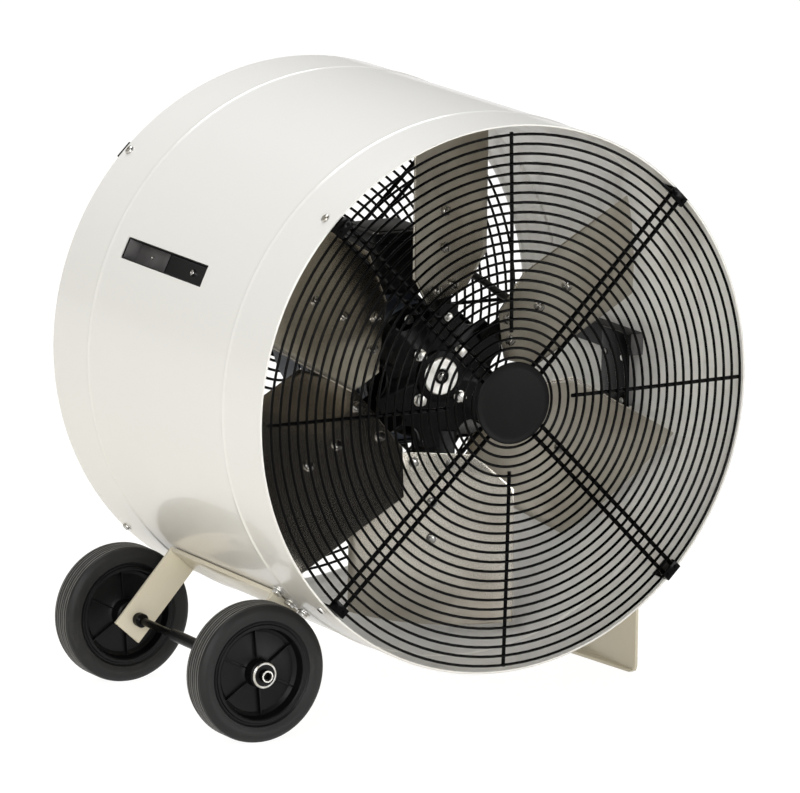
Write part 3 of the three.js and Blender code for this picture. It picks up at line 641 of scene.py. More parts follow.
def bead(y, radius, direction):
    """The rounded ridge that is rolled round the drum, as outline points."""
    steps = 8
    points = []
    for i in range(steps + 1):
        t = i / steps
        lift = BEAD_HEIGHT * math.sin(math.pi * t) ** 2
        points.append((radius + lift, y + direction * BEAD_WIDTH * (t - 0.5)))
    return points


def drum():
    outside, inside = [], []
    for y in BEADS:
        outside += [(DRUM_RADIUS, y - 8), *bead(y, DRUM_RADIUS, 1), (DRUM_RADIUS, y + 8)]
    for y in reversed(BEADS):
        inside += [(DRUM_INSIDE, y + 8), *bead(y, DRUM_INSIDE, -1), (DRUM_INSIDE, y - 8)]
    edge = 0.7
    outline = [
        (DRUM_INSIDE + edge, FRONT), (DRUM_RADIUS - edge, FRONT), (DRUM_RADIUS, FRONT + edge), *outside,
        (DRUM_RADIUS, REAR - edge), (DRUM_RADIUS - edge, REAR), (DRUM_INSIDE + edge, REAR),
        (DRUM_INSIDE, REAR - edge), *inside, (DRUM_INSIDE, FRONT + edge),
    ]
    shell = turned("drum", outline, 192)
    for angle, middle in HANDLES.values():
        slot = block("slot", (30, SLOT_LENGTH, SLOT_HEIGHT), (DRUM_RADIUS, middle, 0))
        cut(shell, to_angle(slot, angle))
    return finished(shell, WHITE, "frame", "white_paint", "drum_shell", sharp=25)


def handle_cup(name, angle, middle):
    """A black cup behind the drum's slot, with two screws, and a paler grey rear half and front end that
    are painted light.
    """
    wall, depth = 1.6, 20.5
    length, height = SLOT_LENGTH + 0.4, SLOT_HEIGHT + 0.4
    free_length, free_height = length - 2 * wall, height - 2 * wall
    centre = DRUM_RADIUS - 0.6 - depth / 2
    cup = block(name, (depth, length, height), (centre, middle, 0), 2.0, 3)
    hollow = block("hollow", (depth, free_length, free_height), (centre + wall, middle, 0), 1.6, 3)
    cut(cup, hollow)
    finished(to_angle(cup, angle), PLASTIC, "frame", "black_plastic", name)
    floor = centre - depth / 2 + wall
    end = middle + free_length / 2
    # The pad and back, paler grey than the black cup, are painted light on the cup's rear half.
    pad = block("pad", (1.0, 70, free_height - 1), (floor + 0.6, end - 35.2, 0), 0.3)
    back_place = (centre + wall / 2 - 0.6, end - 0.6, 0)
    back = block("back", (depth - wall - 2, 1.0, free_height - 1), back_place, 0.3)
    liner = to_angle(joined(name + "_liner", [pad, back]), angle)
    finished(liner, PAINTED_LIGHT_PLASTIC, "frame", "black_plastic")
    # The cap, paler grey than the black cup, is painted light on the cup's front end.
    cap = block("cap", (16.5, 0.7, height - 1), (floor + 9, middle - length / 2 - 0.3, 0), 0.2)
    finished(to_angle(cap, angle), PAINTED_LIGHT_PLASTIC, "frame", "black_plastic")
    screws = [moved(pan_screw("screw", size, 2.0, 0), (floor + lift, middle + along, 0))
              for size, lift, along in ((4.0, 0.1, -36), (2.2, 1.2, 58))]
    finished(to_angle(joined(name + "_screws", screws), angle), ZINC, "frame", "zinc")


# ---- Guards

def dome(radius):
    """How far the guard stands in front of its outermost ring."""
    return GUARD_DOME * max(0.0, 1 - (radius / RING_LAST) ** 2)


def ring_y(radius):
    return RING_WIRE - GUARD_PROUD - dome(radius)


def guard_rings():
    rings = []
    for i in range(RING_COUNT):
        radius = RING_FIRST + (RING_LAST - RING_FIRST) * i / (RING_COUNT - 1)
        deselect()
        bpy.ops.mesh.primitive_torus_add(
            major_radius=radius * MM, minor_radius=RING_WIRE * MM,
            major_segments=72 + 2 * i, minor_segments=8,
            location=(0, ring_y(radius) * MM, 0), rotation=(math.pi / 2, 0, 0),
        )
        rings.append(settle(named("ring")))
    return rings


def spoke(radius, start, end, offset):
    """A wire that follows the dome under the rings."""
    steps = 10
    points = []
    for i in range(steps + 1):
        r = start + (end - start) * i / steps
        points.append((r, ring_y(r) + RING_WIRE + radius - 0.4, offset))
    return bent_rod("spoke", points, radius)


def guard_wires(name):
    wires = guard_rings()
    pair = [spoke(SPOKE_WIRE, 40, 307, side * SPOKE_SPACING / 2) for side in (-1, 1)]
    double = joined("double", pair)
    single = spoke(SINGLE_WIRE, 80, 307, 0)
    for angle in DIAGONALS:
        wires.append(to_angle(copied(double, "double_spoke"), angle))
    for angle in (0, 90, 180, 270):
        wires.append(to_angle(copied(single, "single_spoke"), angle))
    for spare in (double, single):
        bpy.data.objects.remove(spare)
    return joined(name, wires)


def guard_disc(name):
    """The pressed disc in the guard's middle, slightly domed, with a rolled rim."""
    rim = -GUARD_PROUD - dome(DISC_RADIUS) - 0.6
    steps = 8
    top = []
    for i in range(steps + 1):
        r = (DISC_RADIUS - 2.5) * i / steps
        top.append((r, -GUARD_PROUD - dome(0) - 2.4 + 1.4 * (r / DISC_RADIUS) ** 2))
    under = [(r, y + 1.2) for r, y in reversed(top)]
    outline = [*top, (DISC_RADIUS - 0.8, rim - 1.4), (DISC_RADIUS, rim - 0.6),
               (DISC_RADIUS, rim + 0.2), (DISC_RADIUS - 1.6, rim + 0.2), *under]
    return turned(name, outline, 96)


def guard_clip(name):
    """The clip over the ends of a double spoke, with its leg along the wall and a small screw."""
    inner, outer = 300.0, DRUM_INSIDE - 0.8
    front = -GUARD_PROUD - dome(inner) - 0.3
    plate = block("plate", (outer - inner, 2.4, 22), ((outer + inner) / 2, front - 1.0, 0), 0.7)
    lips = [block("lip", (outer - inner, 6.0, 1.8), ((outer + inner) / 2, front + 1.6, 10.1 * side), 0.6)
            for side in (-1, 1)]
    leg = block("leg", (2.0, 35, 22), (outer - 1.0, front + 15.5, 0), 0.6)
    screws = []
    for side in (-1, 1):
        head = moved(pan_screw("head", 2.3, 1.4, 0), turn=(0, 0, -90))
        screws.append(moved(head, (306, front - 2.2, 6.5 * side)))
    return joined(name, [plate, *lips, leg, *screws])


def guard_set(end):
    """One end's guard about the drum's end at y = 0, with the drum's inside towards +y."""
    screw_y = {"front": 22, "rear": 12}[end]
    wires = guard_wires(end + "_guard_wires")
    disc = guard_disc(end + "_disc")
    clip = guard_clip("clip")
    screw = moved(pan_screw("screw", 5.6, 3.0, DRUM_RADIUS + 0.4), (0, screw_y, 0))
    clips = [to_angle(copied(clip, f"{end}_holder_{i + 1}"), a) for i, a in enumerate(DIAGONALS)]
    screws = [to_angle(copied(screw, f"{end}_wall_screw_{i + 1}"), a) for i, a in enumerate(DIAGONALS)]
    for spare in (clip, screw):
        bpy.data.objects.remove(spare)
    turn, place = ((0, 0, 0), (0, FRONT, 0)) if end == "front" else ((0, 0, 180), (0, REAR, 0))
    for piece in (wires, disc, *clips, *screws):
        moved(piece, place, turn)
    finished(wires, WIRE, "frame", "black_wire", end + "_guard", sharp=60)
    finished(disc, DISC, "frame", "black_wire", end + "_guard_disc", sharp=40)
    for i, piece in enumerate(clips):
        finished(piece, WIRE, "frame", "black_wire", f"{end}_clip_{i + 1}")
    for i, piece in enumerate(screws):
        finished(piece, ZINC, "frame", "zinc", f"{end}_screw_{i + 1}")


# ---- Impeller

def camber(u):
    """The sheet's z across the chord: its edges lie in front of its middle."""
    return -BLADE_CAMBER * (2 * (u - BLADE_MIDDLE) / BLADE_CHORD) ** 2


def blade_sheet():
    """A pressed sheet in its own frame: x out along the arm, y across the chord, z to the rear."""
    steps, rows = 20, 8
    half = BLADE_CHORD / 2
    section = [BLADE_MIDDLE + half * (2 * i / steps - 1) for i in range(steps + 1)]
    chain([(BLADE_SHOULDER, u, camber(u)) for u in section])
    inwards = (BLADE_ROOT - BLADE_SHOULDER) * MM
    bpy.ops.mesh.extrude_region_move(TRANSFORM_OT_translate={"value": (inwards, 0, 0)})
    narrow = BLADE_ROOT_WIDTH / BLADE_CHORD
    centre = Vector((BLADE_ROOT, BLADE_MIDDLE, 0)) * MM
    bpy.ops.transform.resize(value=(1, narrow, narrow ** 2), center_override=centre)
    done()
    piece = named("sheet")
    edit_only(piece, column(piece, BLADE_SHOULDER))
    step = (BLADE_ROWS_END - BLADE_SHOULDER) / rows * MM
    for _ in range(rows):
        bpy.ops.mesh.extrude_region_move(TRANSFORM_OT_translate={"value": (step, 0, 0)})
    done()
    round_tip(piece)
    outward(piece)
    if piece.data.polygons[0].normal.z < 0:
        edit(piece)
        bpy.ops.mesh.flip_normals()
        done()
    modified(piece, "SOLIDIFY", thickness=BLADE_SHEET * MM, offset=1.0)
    return bevelled(piece, 0.5, 2, 50)


def round_tip(piece):
    """Moves each vertex of the outer edge out to the tip circle."""
    pitch = math.radians(BLADE_PITCH)
    for index in sorted(column(piece, BLADE_ROWS_END)):
        place = piece.data.vertices[index].co.copy()
        across = place.y * math.cos(pitch) - place.z * math.sin(pitch)
        reach = math.sqrt((BLADE_TIP * MM) ** 2 - across ** 2)
        edit_only(piece, {index})
        bpy.ops.transform.translate(value=(reach - place.x, 0, 0))
        done()


def blade_bolts():
    """The bolts that hold a blade to its arm, on the blade's front face."""
    bolts = []
    for radius, offset in BLADE_BOLTS:
        u = BLADE_MIDDLE + offset
        bolt = hex_bolt("bolt", 9.0, 3.6, 6.2)
        slope = math.degrees(math.atan(-2 * camber(u) / offset)) if offset else 0.0
        bolt = moved(bolt, turn=(90, 0, 0))
        bolts.append(moved(moved(bolt, turn=(-slope, 0, 0)), (radius, u, camber(u))))
    return joined("bolts", bolts)


def set_blade(piece, angle):
    """Pitches a piece drawn in the blade's frame and turns it to its place round the hub."""
    moved(piece, (0, IMPELLER_Y, 0), (BLADE_PITCH - 90, 0, 0))
    return to_angle(piece, angle)


def blades():
    sheet = blade_sheet()
    bolts = blade_bolts()
    for i, angle in enumerate(BLADE_ANGLES):
        blade = set_blade(copied(sheet, f"blade_sheet_{i + 1}"), angle)
        finished(blade, SHEET, "impeller", "blade_metal", f"blade_{i + 1}", sharp=40)
        heads = set_blade(copied(bolts, f"blade_bolts_{i + 1}"), angle)
        finished(heads, SHADED_ZINC, "impeller", "zinc")
    for spare in (sheet, bolts):
        bpy.data.objects.remove(spare)


def spider():
    """The pressed plate behind the blades: six pitched arms with round scallops between them."""
    front, back, rim = SPIDER_FRONT, SPIDER_FRONT + 6, SPIDER_RADIUS
    plate = turned(
        "plate",
        [(0, front), (rim - 1, front), (rim, front + 1), (rim, back - 1), (rim - 1, back), (0, back)],
        96,
    )
    scallop = rod("scallop", 19.5, 30, (rim + 2, front, 0), "Y", 40)
    cut(plate, ringed("scallops", scallop, [angle + 30 for angle in BLADE_ANGLES]))
    bevelled(plate, 0.6, 2, 50)
    arm = block("arm", (150, 50, 4), (139, BLADE_MIDDLE, 5.2), 1.0)
    arms = [set_blade(copied(arm, "arm"), angle) for angle in BLADE_ANGLES]
    bpy.data.objects.remove(arm)
    spider_plate = joined("spider", [plate, *arms])
    finished(spider_plate, STEEL, "impeller", "black_steel", "impeller_spider")


def hub():
    """The boss with a bright turned face, its screw and seal, its black collar, and the bolts round it."""
    face = IMPELLER_Y - 3
    back = SPIDER_FRONT
    boss = turned(
        "boss",
        [(0, face + 1.2), (8.6, face + 1.2), (9.4, face), (20.5, face), (21.8, face + 1.2),
         (21.8, back + 6.4), (12.5, back + 6.4), (12.5, back + 5), (0, back + 5)],
        64,
    )
    finished(boss, TURNED, "impeller", "zinc", "impeller_boss")
    screw = moved(hex_bolt("centre_screw", 8.0, 2.2, 5.6), (0, face + 1.1, 0))
    finished(screw, SHADED_ZINC, "impeller", "zinc")
    seal = turned(
        "boss_seal",
        [(5.7, face + 1.1), (8.5, face + 1.1), (8.5, face - 0.6), (8.0, face - 1), (6.2, face - 1),
         (5.7, face - 0.6)],
        48,
    )
    finished(seal, STEEL, "impeller", "black_steel")
    collar = turned(
        "boss_collar",
        [(22, face + 1.8), (28.8, face + 2.2), (30, face + 3.4), (30, back - 0.4), (22, back - 0.4)],
        64,
    )
    barrel = turned(
        "boss_barrel",
        [(12.5, back + 6.5), (34, back + 6.5), (34, back + 16.5), (32.5, back + 18), (12.5, back + 18)],
        64,
    )
    finished(joined("boss_clamp", [collar, barrel]), STEEL, "impeller", "black_steel", "impeller_boss")
    bolt = moved(hex_bolt("bolt", 11.5, 6.0, 7.2), (HUB_BOLT_RADIUS, back - 0.4, 0))
    finished(ringed("hub_bolts", bolt, DIAGONALS), ZINC, "impeller", "zinc")
    small = moved(hex_bolt("balance_bolt", 7.5, 3.5, 5.0), (68, back - 0.2, 0))
    finished(to_angle(small, 81), ZINC, "impeller", "zinc")


def shaft():
    outline = [
        (0, -93.6), (11, -93.6), (12, -92.6), (12, -41), (46, -41), (48.4, -39), (48.4, 65), (46, 67),
        (12, 67), (12, 121), (11, 122), (0, 122),
    ]
    finished(turned("shaft_and_rotor", outline, 48), TURNED, "impeller", "zinc", "rotor_shaft")


def cooling_fan():
    front, rear = MOTOR_REAR + 19.2, MOTOR_REAR + 35
    core = turned(
        "core",
        [(12.4, front), (20, front), (22, front + 2), (40, rear - 3), (40, rear - 1), (20, rear),
         (12.4, rear)],
        48,
    )
    vane = block("vane", (46, 13, 2.4), (43, (front + rear) / 2, 0), 0.8)
    fan = joined("cooling_vanes", [core, ringed("vanes", vane, range(0, 360, 45))])
    finished(fan, PLASTIC, "impeller", "black_plastic", "motor_cooling_fan")


# ---- Motor

def upright(piece, place):
    """Turns a bolt that faces -y up, and stands it on a place."""
    return moved(piece, place, (-90, 0, 0))


def motor_housing():
    """The cast barrel with cooling fins and two feet on the strap."""
    front, rear = MOTOR_FRONT, MOTOR_REAR
    barrel = turned(
        "barrel",
        [(50, front), (76.5, front), (78, front + 1.5), (78, front + 11), (71, front + 15),
         (71, rear - 15), (78, rear - 11), (78, rear - 1.5), (76.5, rear), (50, rear)],
        96,
    )
    fin = block("fin", (8, rear - front - 24, 2.8), (73.6, (front + rear) / 2, 0), 0.9)
    angles = [a for a in range(0, 360, 8) if not 56 < a < 124 and not 226 < a < 314]
    base = block("base", (120, 64, 9), (0, STRAP_MIDDLE, STRAP_TOP + 4.8), 1.5)
    webs = [block("web", (14, 58, 34), (38 * side, STRAP_MIDDLE, -66), 2.0) for side in (-1, 1)]
    seat = block("box_seat", (56, 64, 16), (0, BOX_MIDDLE, 70), 2.0)
    housing = joined("motor_barrel", [barrel, ringed("fins", fin, angles), base, *webs, seat])
    finished(housing, CASTING, "frame", "motor_iron", "motor_housing")
    bolts = [upright(hex_bolt("bolt", 13.0, 6.0, 9.0), (53 * i, STRAP_MIDDLE + 20 * k, STRAP_TOP + 9.3))
             for i in (-1, 1) for k in (-1, 1)]
    finished(joined("motor_foot_bolts", bolts), ZINC, "frame", "zinc")


def motor_shields():
    face = MOTOR_FRONT - 12.2
    front = turned(
        "front_shield",
        [(12.8, face - 6), (25.5, face - 6), (28, face - 4.5), (33, face - 0.5), (69, face),
         (74, face + 1), (77.8, face + 4.5), (77.8, face + 11.8), (12.8, face + 11.8)],
        96,
    )
    rib = block("rib", (38, 3.4, 4.0), (52, face - 0.6, 0), 1.0)
    ribs = ringed("ribs", rib, range(0, 360, 45))
    # The front shield takes the black steel coat, not the motor's blue-grey paint: painted shade, where it
    # lies dark behind the spider.
    finished(joined("front_shield", [front, ribs]), STEEL, "frame", "motor_iron", "motor_front_shield")
    bolt = moved(hex_bolt("bolt", 8.0, 4.0, 5.6), (67, face + 0.3, 0))
    finished(ringed("shield_bolts", bolt, [22, 112, 202, 292]), ZINC, "frame", "zinc")
    near = MOTOR_REAR + 0.4
    rear = turned(
        "rear_shield",
        [(12.8, near), (77.8, near), (77.8, near + 8), (74, near + 11.8), (12.8, near + 11.8)], 96,
    )
    finished(rear, CASTING, "frame", "motor_iron", "motor_rear_shield")


def motor_cowl():
    """The pressed cowl over the cooling fan, with slots in its rear wall."""
    front, rear = MOTOR_REAR + 12.7, MOTOR_REAR + 78.5
    cowl = turned(
        "fan_cowl",
        [(76.4, front), (77.9, front), (77.9, rear - 9), (76.2, rear - 4), (72, rear - 0.8), (69, rear),
         (0, rear), (0, rear - 1.6), (68.6, rear - 1.6), (71.4, rear - 2.4), (74.8, rear - 5),
         (76.4, rear - 9)],
        96,
    )
    outer = ringed("outer_slots", block("slot", (42, 20, 4.6), (46, rear, 0), 1.8), range(0, 360, 15))
    inner = ringed("inner_slots", block("slot", (10, 20, 4.0), (14.5, rear, 0), 1.5), range(0, 360, 45))
    cut(cowl, joined("slots", [outer, inner]))
    finished(cowl, CASTING, "frame", "motor_steel", "motor_cowl", sharp=30)


def cable_gland(name, radius, length, bore):
    """A hexagon nut with a domed cap that grips the lead, standing on y = 0 and facing +y."""
    nut = rod("nut", radius, 0.36 * length, (0, 0.18 * length, 0), "Y", 6)
    bevelled(nut, 0.6)
    slim = 0.86 * radius
    cap = turned(
        "cap",
        [(bore, 0.3 * length), (slim, 0.3 * length), (slim, 0.66 * length), (0.94 * slim, 0.82 * length),
         (0.8 * slim, 0.95 * length), (0.7 * slim, length), (bore, length)],
        36,
    )
    return joined(name, [nut, cap])


def terminal_box():
    box = block("connection_box", (72, 80, 62), (0, BOX_MIDDLE, BOX_BOTTOM + 31), 3.0, 3)
    ribs = [block("rib", (1.6, 79.4, 46), (35.6 * side, BOX_MIDDLE, BOX_BOTTOM + 30), 0.7)
            for side in (-1, 1)]
    finished(joined("connection_box", [box, *ribs]), PLASTIC, "frame", "black_plastic", "terminal_box")
    lid_bottom = BOX_BOTTOM + 62.3
    lid = block("box_lid", (76, 84, 10.4), (0, BOX_MIDDLE, lid_bottom + 5.2), 2.4, 3)
    panel = block("panel", (58, 66, 3.0), (0, BOX_MIDDLE, lid_bottom + 10.3), 1.2)
    finished(joined("box_lid", [lid, panel]), PLASTIC, "frame", "black_plastic", "terminal_box_lid")
    corners = [(33 * i, BOX_MIDDLE + 37 * k, lid_bottom + 10.4) for i in (-1, 1) for k in (-1, 1)]
    screws = [moved(pan_screw("screw", 3.4, 1.5, 0), corner, (0, -90, 0)) for corner in corners]
    finished(joined("box_lid_screws", screws), ZINC, "frame", "zinc")
    gland = moved(cable_gland("box_gland", 8.0, 15.8, 4.7), (36.4, BOX_MIDDLE + 18, 100.3), (0, 0, -90))
    finished(gland, PLASTIC, "frame", "black_plastic", "terminal_box_gland")


def supply_lead():
    """The lead from the terminal box to the gland in the drum's wall."""
    turn = math.radians(GLAND_ANGLE)
    wall = DRUM_INSIDE - 16
    start = (52.6, BOX_MIDDLE + 18, 100.3)
    route = [
        start, (start[0] + 14, start[1], start[2]), (98, 49, 93), (133, 47, 76), (171, 46, 50),
        (204, 60, 41), (229, 94, 35), (241, 136, 32), (255, GLAND_Y - 18, 30),
        ((wall - 16) * math.cos(turn), GLAND_Y, (wall - 16) * math.sin(turn)),
        (wall * math.cos(turn), GLAND_Y, wall * math.sin(turn)),
    ]
    finished(tube("motor_lead", route, LEAD_RADIUS), LEAD, "frame", "black_rubber", "supply_lead")
    outer = moved(cable_gland("outer", 11.0, 15.0, 5.0), (DRUM_RADIUS + 0.3, GLAND_Y, 0), (0, 0, -90))
    plug = rod("plug", 5.1, 10, (DRUM_RADIUS + 8, GLAND_Y, 0), "X", 32, 0.6)
    inner = moved(cable_gland("inner", 7.9, 15.4, 4.7), (DRUM_INSIDE - 0.3, GLAND_Y, 0), (0, 0, 90))
    gland = to_angle(joined("wall_gland", [outer, plug, inner]), GLAND_ANGLE)
    finished(gland, PLASTIC, "frame", "black_plastic", "supply_gland")


def strap():
    """The flat strap under the motor, its upright ends and their screws."""
    bar = block("strap_bar", (592, 74, 4), (0, STRAP_MIDDLE, STRAP_TOP - 2), 0.8)
    finished(bar, STEEL, "frame", "black_steel", "motor_strap")
    bottom, top, front = STRAP_TOP + 0.3, 10.0, STRAP_MIDDLE - 37
    for name, side in (("left", -1), ("right", 1)):
        plate = block(
            f"strap_plate_{name}", (4, 58, top - bottom),
            (side * 289.4, front + 29, (top + bottom) / 2), 0.8,
        )
        finished(plate, STEEL, "frame", "black_steel", f"strap_end_{name}")
        heads = []
        for y, z in ((front + 10, -19), (front + 50, -19), (front + 10, -70), (front + 50, -70)):
            head = pan_screw("head", 3.6, 2.0, 0)
            heads.append(moved(head, (side * 287.4, y, z), (0, 0, 180 if side > 0 else 0)))
        nut = moved(hex_bolt("nut", 8.0, 4.0, 5.5), (312.2, front + 12, 0), (0, 0, -90))
        heads.append(to_angle(nut, -15 if side > 0 else 195))
        finished(joined(f"strap_screws_{name}", heads), ZINC, "frame", "zinc")


def motor():
    motor_housing()
    motor_shields()
    motor_cowl()
    terminal_box()
    supply_lead()
    strap()


# ---- Wheels

def tyre(end, y):
    half = 20.0
    groove = WHEEL_RADIUS - 1.6
    wall = [(61.4, 3 - half), (66, 1.2 - half), (71, -half), (75.5, 1.2 - half), (78.8, 4.2 - half)]
    tread = []
    for centre in (-9.5, 0.0, 9.5):
        tread += [(WHEEL_RADIUS, centre - 1.7), (groove, centre - 1.0), (groove, centre + 1.0),
                  (WHEEL_RADIUS, centre + 1.7)]
    piece = turned(end + "_tread", [*wall, *tread, *mirrored(wall)], 96, (0, y, 0))
    piece = moved(piece, WHEEL_PLACE)
    return finished(piece, RUBBER, end + "_wheel", "tyre", end + "_tyre", sharp=30)


def wheel_disc(end, y):
    half = [
        (7.6, -21), (13.5, -21), (15.5, -19), (16.5, -6), (20, -4), (46, -4), (50, -7), (52.5, -16.5),
        (54, -17.5), (56.5, -17.5), (57.5, -16), (59, -16), (61, -17.2),
    ]
    parts = [turned("disc", half + mirrored(half), 96)]
    for side in (-1, 1):
        for angle in (95, 35, -25, -85, -145, 155):
            rib = block("rib", (36, 5, 1.6), (33, side * 6.0, 0), 0.4)
            parts.append(to_angle(rib, angle))
    piece = moved(joined(end + "_wheel_disc", parts), (WHEEL_PLACE[0], y, WHEEL_PLACE[2]))
    return finished(piece, PLASTIC, end + "_wheel", "black_plastic", end + "_wheel_hub", sharp=30)


def axle_parts():
    """A thick rod, thinner from its middle to the bush at the rear leg, with a bored end at each wheel."""
    axle = turned(
        "axle_tube",
        [(0, -186), (3.6, -186), (3.6, -189.5), (6.2, -190), (7, -189.2), (7, 34), (6, 35), (4.6, 35.5),
         (4.6, 108), (7, 109), (8.2, 110), (8.2, 118), (7, 119), (7, 189.2), (6.2, 190), (3.6, 189.5),
         (3.6, 186), (0, 186)],
        40,
    )
    finished(moved(axle, WHEEL_PLACE), STEEL, "frame", "black_steel", "axle")
    for end, side in (("front", -1), ("rear", 1)):
        y = side * (WHEEL_Y + 21 + 0.5 + 1.25)
        washer = turned(
            end + "_washer",
            [(12.6, y - 1.2), (14.2, y - 1.2), (15, y - 0.6), (15, y + 0.6), (14.2, y + 1.2),
             (12.6, y + 1.2)],
            48,
        )
        finished(moved(washer, WHEEL_PLACE), ZINC, "frame", "zinc", end + "_axle_washer")
        section = [(7.3, y - 0.8), (12.4, y - 0.8), (12.4, y + 0.8), (7.3, y + 0.8)]
        liner = turned(end + "_liner", section, 48)
        finished(moved(liner, WHEEL_PLACE), PLASTIC, "frame", "black_plastic")
        tip = side * (WHEEL_Y + 29)
        section = [(5.2, tip - 1.6), (6.8, tip - 1.6), (6.8, tip - 0.4), (5.2, tip - 0.4)]
        ring = turned(end + "_ring", section, 40)
        finished(moved(ring, WHEEL_PLACE), TURNED, "frame", "zinc")


def wheels():
    for end, side in (("front", -1), ("rear", 1)):
        tyre(end, side * WHEEL_Y)
        wheel_disc(end, side * WHEEL_Y)
    axle_parts()


# ---- Stand

def bracket():
    """The rail along the drum, a leg at each end that carries the axle, and three bolts."""
    reach = math.hypot(WHEEL_PLACE[0], WHEEL_PLACE[2])
    inner = DRUM_RADIUS + 0.8
    rail = block("rail", (5, 239.4, 40), (inner + 2.5, 0, 0), 0.8)
    finished(to_angle(rail, BRACKET_ANGLE), CREAM, "frame", "cream_paint", "bracket_rail")
    for name, y in (("front", -LEG_Y), ("rear", LEG_Y)):
        leg = block(name + "_leg", (reach + 21 - inner, 5, 40), ((inner + reach + 21) / 2, y, 0), 0.8)
        cut(leg, rod("hole", 7.5, 20, (reach, y, 0), "Y", 40))
        finished(to_angle(leg, BRACKET_ANGLE), CREAM, "frame", "cream_paint", f"bracket_{name}_leg")
    for i in range(3):
        bolt = moved(hex_bolt("bolt", 11.5, 4.0, 8.0), turn=(0, 0, 90))
        bolt = moved(bolt, (DRUM_RADIUS + 0.3, -134, 0))
        bolt = to_angle(bolt, BRACKET_ANGLE + 4.0 * (i - 1))
        bolt.name = f"rail_bolt_{i + 1}"
        finished(bolt, ZINC, "frame", "zinc", f"bracket_bolt_{i + 1}")


def foot():
    """A folded plate: a flange on the floor, an upright web and a top along the drum, with two bolts."""
    angle = math.radians(-26)
    cos, sin = math.cos(angle), math.sin(angle)
    half_top, half_length, corner, inner, web, outer = 25, 82, 9.0, 255, 277.0, 281.0
    near, far = DRUM_RADIUS + 0.8, DRUM_RADIUS + 4.8
    section = [
        (inner, FLOOR), (outer, FLOOR), (outer, far * sin - half_top * cos),
        (far * cos - half_top * sin, far * sin + half_top * cos),
        (near * cos - half_top * sin, near * sin + half_top * cos),
        (web, near * sin - half_top * cos), (web, FLOOR + 4), (inner, FLOOR + 4),
    ]
    plate = prism("foot_plate", [(x, -half_length, z) for x, z in section], (0, 2 * half_length, 0))
    taper = [(outer - 5, -90), (outer - 26, 90), (outer - 60, 90), (outer - 60, -90)]
    cut(plate, prism("taper", [(x, y, FLOOR - 3) for x, y in taper], (0, 0, 12)))
    notch = [(-1, -1), (corner, -1), (corner, 0), (0.3 * corner, 0.3 * corner), (0, corner), (-1, corner)]
    notch = [(outer - 40, y - half_length, z + FLOOR) for y, z in notch]
    cut(plate, prism("notch", notch, (60, 0, 0)))
    bevelled(plate, 0.9)
    finished(plate, CREAM, "frame", "cream_paint", "foot")
    bolts = []
    for y in (-45, 45):
        bolt = moved(hex_bolt("bolt", 13.0, 6.0, 9.0), (far + 0.2, y, 0), (0, 0, 90))
        bolts.append(to_angle(bolt, -25))
    finished(joined("foot_bolts", bolts), ZINC, "frame", "zinc")


# ---- Studio

FLOOR_WHITE = 1.12
ROOM_LIGHT = 0.50
CAMERA_PLACE = Vector((-4.91894, -8.41008, 2.07024))  # in metres, from the front rim's centre
CAMERA_YAW = 29.61981                                # degrees to the right of +y
CAMERA_DIP = 11.98021
CAMERA_ROLL = 0.75789
CAMERA_LENS = 398.742                                # millimetres on a 36 mm wide sensor


def studio():
    """A pale floor that looks white to the camera and in reflections, and keeps some shadow."""
    deselect()
    bpy.ops.mesh.primitive_plane_add(size=40, location=(0, 0, 0))
    floor = named("floor")
    finish = Finish("floor_paint", (0.97, 0.93, 0.82), 0.9)
    rays = finish.node("ShaderNodeLightPath")
    shown = Number(finish, rays.outputs["Is Camera Ray"]) + Number(finish, rays.outputs["Is Glossy Ray"])
    white = finish.node("ShaderNodeEmission", None, {"Color": (1, 1, 1), "Strength": FLOOR_WHITE})
    output = finish.tree.nodes["Material Output"]
    bounced = Number(finish, rays.outputs["Is Diffuse Ray"])
    mix = finish.node("ShaderNodeMixShader", None, {0: shown * 0.85 + bounced * 0.15})
    finish.tree.links.new(finish.shader.outputs[0], mix.inputs[1])
    finish.tree.links.new(white.outputs[0], mix.inputs[2])
    finish.tree.links.new(mix.outputs[0], output.inputs["Surface"])
    floor.data.materials.append(finish.material)


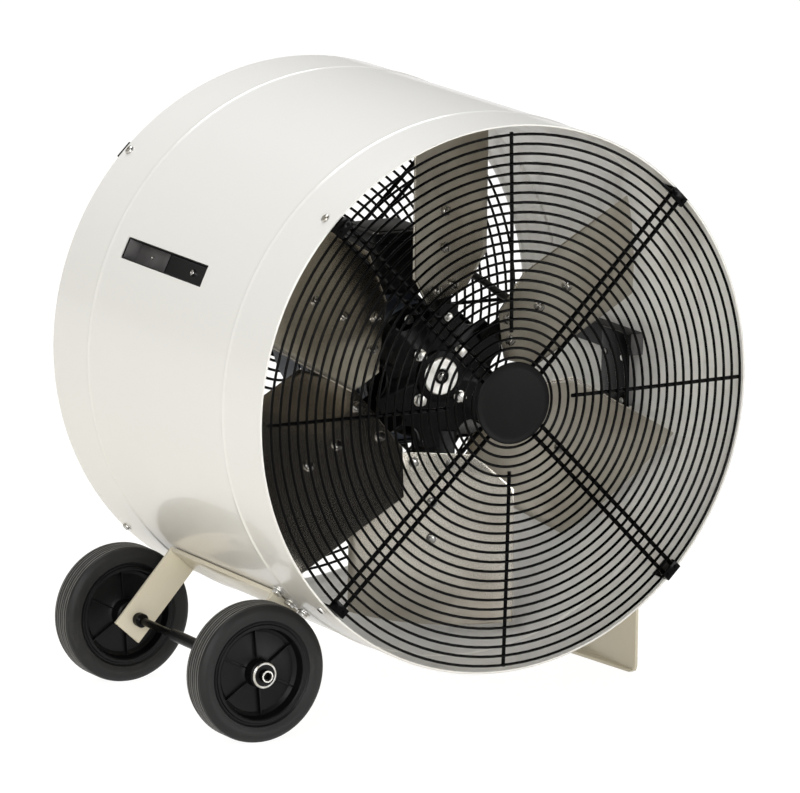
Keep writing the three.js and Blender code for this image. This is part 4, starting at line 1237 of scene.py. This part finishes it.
def sky():
    """An even room, darker up in front, where the blades that face it look black."""
    world = bpy.data.worlds.new("studio")
    bpy.context.scene.world = world
    world.use_nodes = True
    nodes, links = world.node_tree.nodes, world.node_tree.links
    nodes.clear()
    rays = nodes.new("ShaderNodeLightPath")
    direction = nodes.new("ShaderNodeTexCoord")
    facing = nodes.new("ShaderNodeVectorMath")
    facing.operation = "DOT_PRODUCT"
    facing.inputs[1].default_value = Vector((0.05, -0.72, 0.69)).normalized()
    level = nodes.new("ShaderNodeMapRange")
    level.interpolation_type = "SMOOTHSTEP"
    for key, value in (("From Min", 0.55), ("From Max", 0.82), ("To Min", ROOM_LIGHT), ("To Max", 0.02)):
        level.inputs[key].default_value = value
    room = nodes.new("ShaderNodeBackground")
    room.inputs["Color"].default_value = (1.0, 0.985, 0.95, 1)
    white = nodes.new("ShaderNodeBackground")
    white.inputs["Strength"].default_value = 1.0
    mix = nodes.new("ShaderNodeMixShader")
    output = nodes.new("ShaderNodeOutputWorld")
    links.new(direction.outputs["Generated"], facing.inputs[0])
    links.new(facing.outputs["Value"], level.inputs["Value"])
    links.new(level.outputs[0], room.inputs["Strength"])
    links.new(rays.outputs["Is Camera Ray"], mix.inputs[0])
    links.new(room.outputs[0], mix.inputs[1])
    links.new(white.outputs[0], mix.inputs[2])
    links.new(mix.outputs[0], output.inputs[0])


def lamp(name, place, target, size, power):
    data = bpy.data.lights.new(name, "AREA")
    data.shape = "SQUARE"
    data.size = size
    data.energy = power
    light = bpy.data.objects.new(name, data)
    bpy.context.collection.objects.link(light)
    light.location = place
    light.rotation_euler = (Vector(target) - Vector(place)).to_track_quat("-Z", "Y").to_euler()


def lamps():
    middle = (0.0, 0.0, 0.35)
    lamp("key", (-3.6, -3.3, 2.9), middle, 2.4, 130)
    lamp("fill", (2.6, -4.0, 0.5), middle, 1.6, 70)
    lamp("low", (-1.7, -4.5, 0.8), middle, 1.2, 58)
    lamp("top", (0.2, 1.6, 3.8), middle, 2.6, 103)


def camera():
    yaw, dip, roll = (math.radians(a) for a in (CAMERA_YAW, CAMERA_DIP, CAMERA_ROLL))
    forward = Vector((math.sin(yaw) * math.cos(dip), math.cos(yaw) * math.cos(dip), -math.sin(dip)))
    level = Vector((math.cos(yaw), -math.sin(yaw), 0))
    above = level.cross(forward)
    right = math.cos(roll) * level + math.sin(roll) * above
    up = math.cos(roll) * above - math.sin(roll) * level
    data = bpy.data.cameras.new("view")
    data.lens = CAMERA_LENS
    data.sensor_width = 36.0
    data.clip_end = 100.0
    viewer = bpy.data.objects.new("view", data)
    bpy.context.collection.objects.link(viewer)
    turn = Matrix((right, up, -forward)).transposed()
    place = CAMERA_PLACE + AXIS + Vector((0, FRONT * MM, 0))
    viewer.matrix_world = Matrix.Translation(place) @ turn.to_4x4()
    bpy.context.scene.camera = viewer


# ---- The fan

camera()
studio()
sky()
lamps()
drum()
for name, (angle, middle) in HANDLES.items():
    handle_cup(name, angle, middle)
guard_set("front")
guard_set("rear")
blades()
spider()
hub()
shaft()
cooling_fan()
motor()
wheels()
bracket()
foot()

scene = bpy.context.scene
scene.view_settings.view_transform = "Standard"
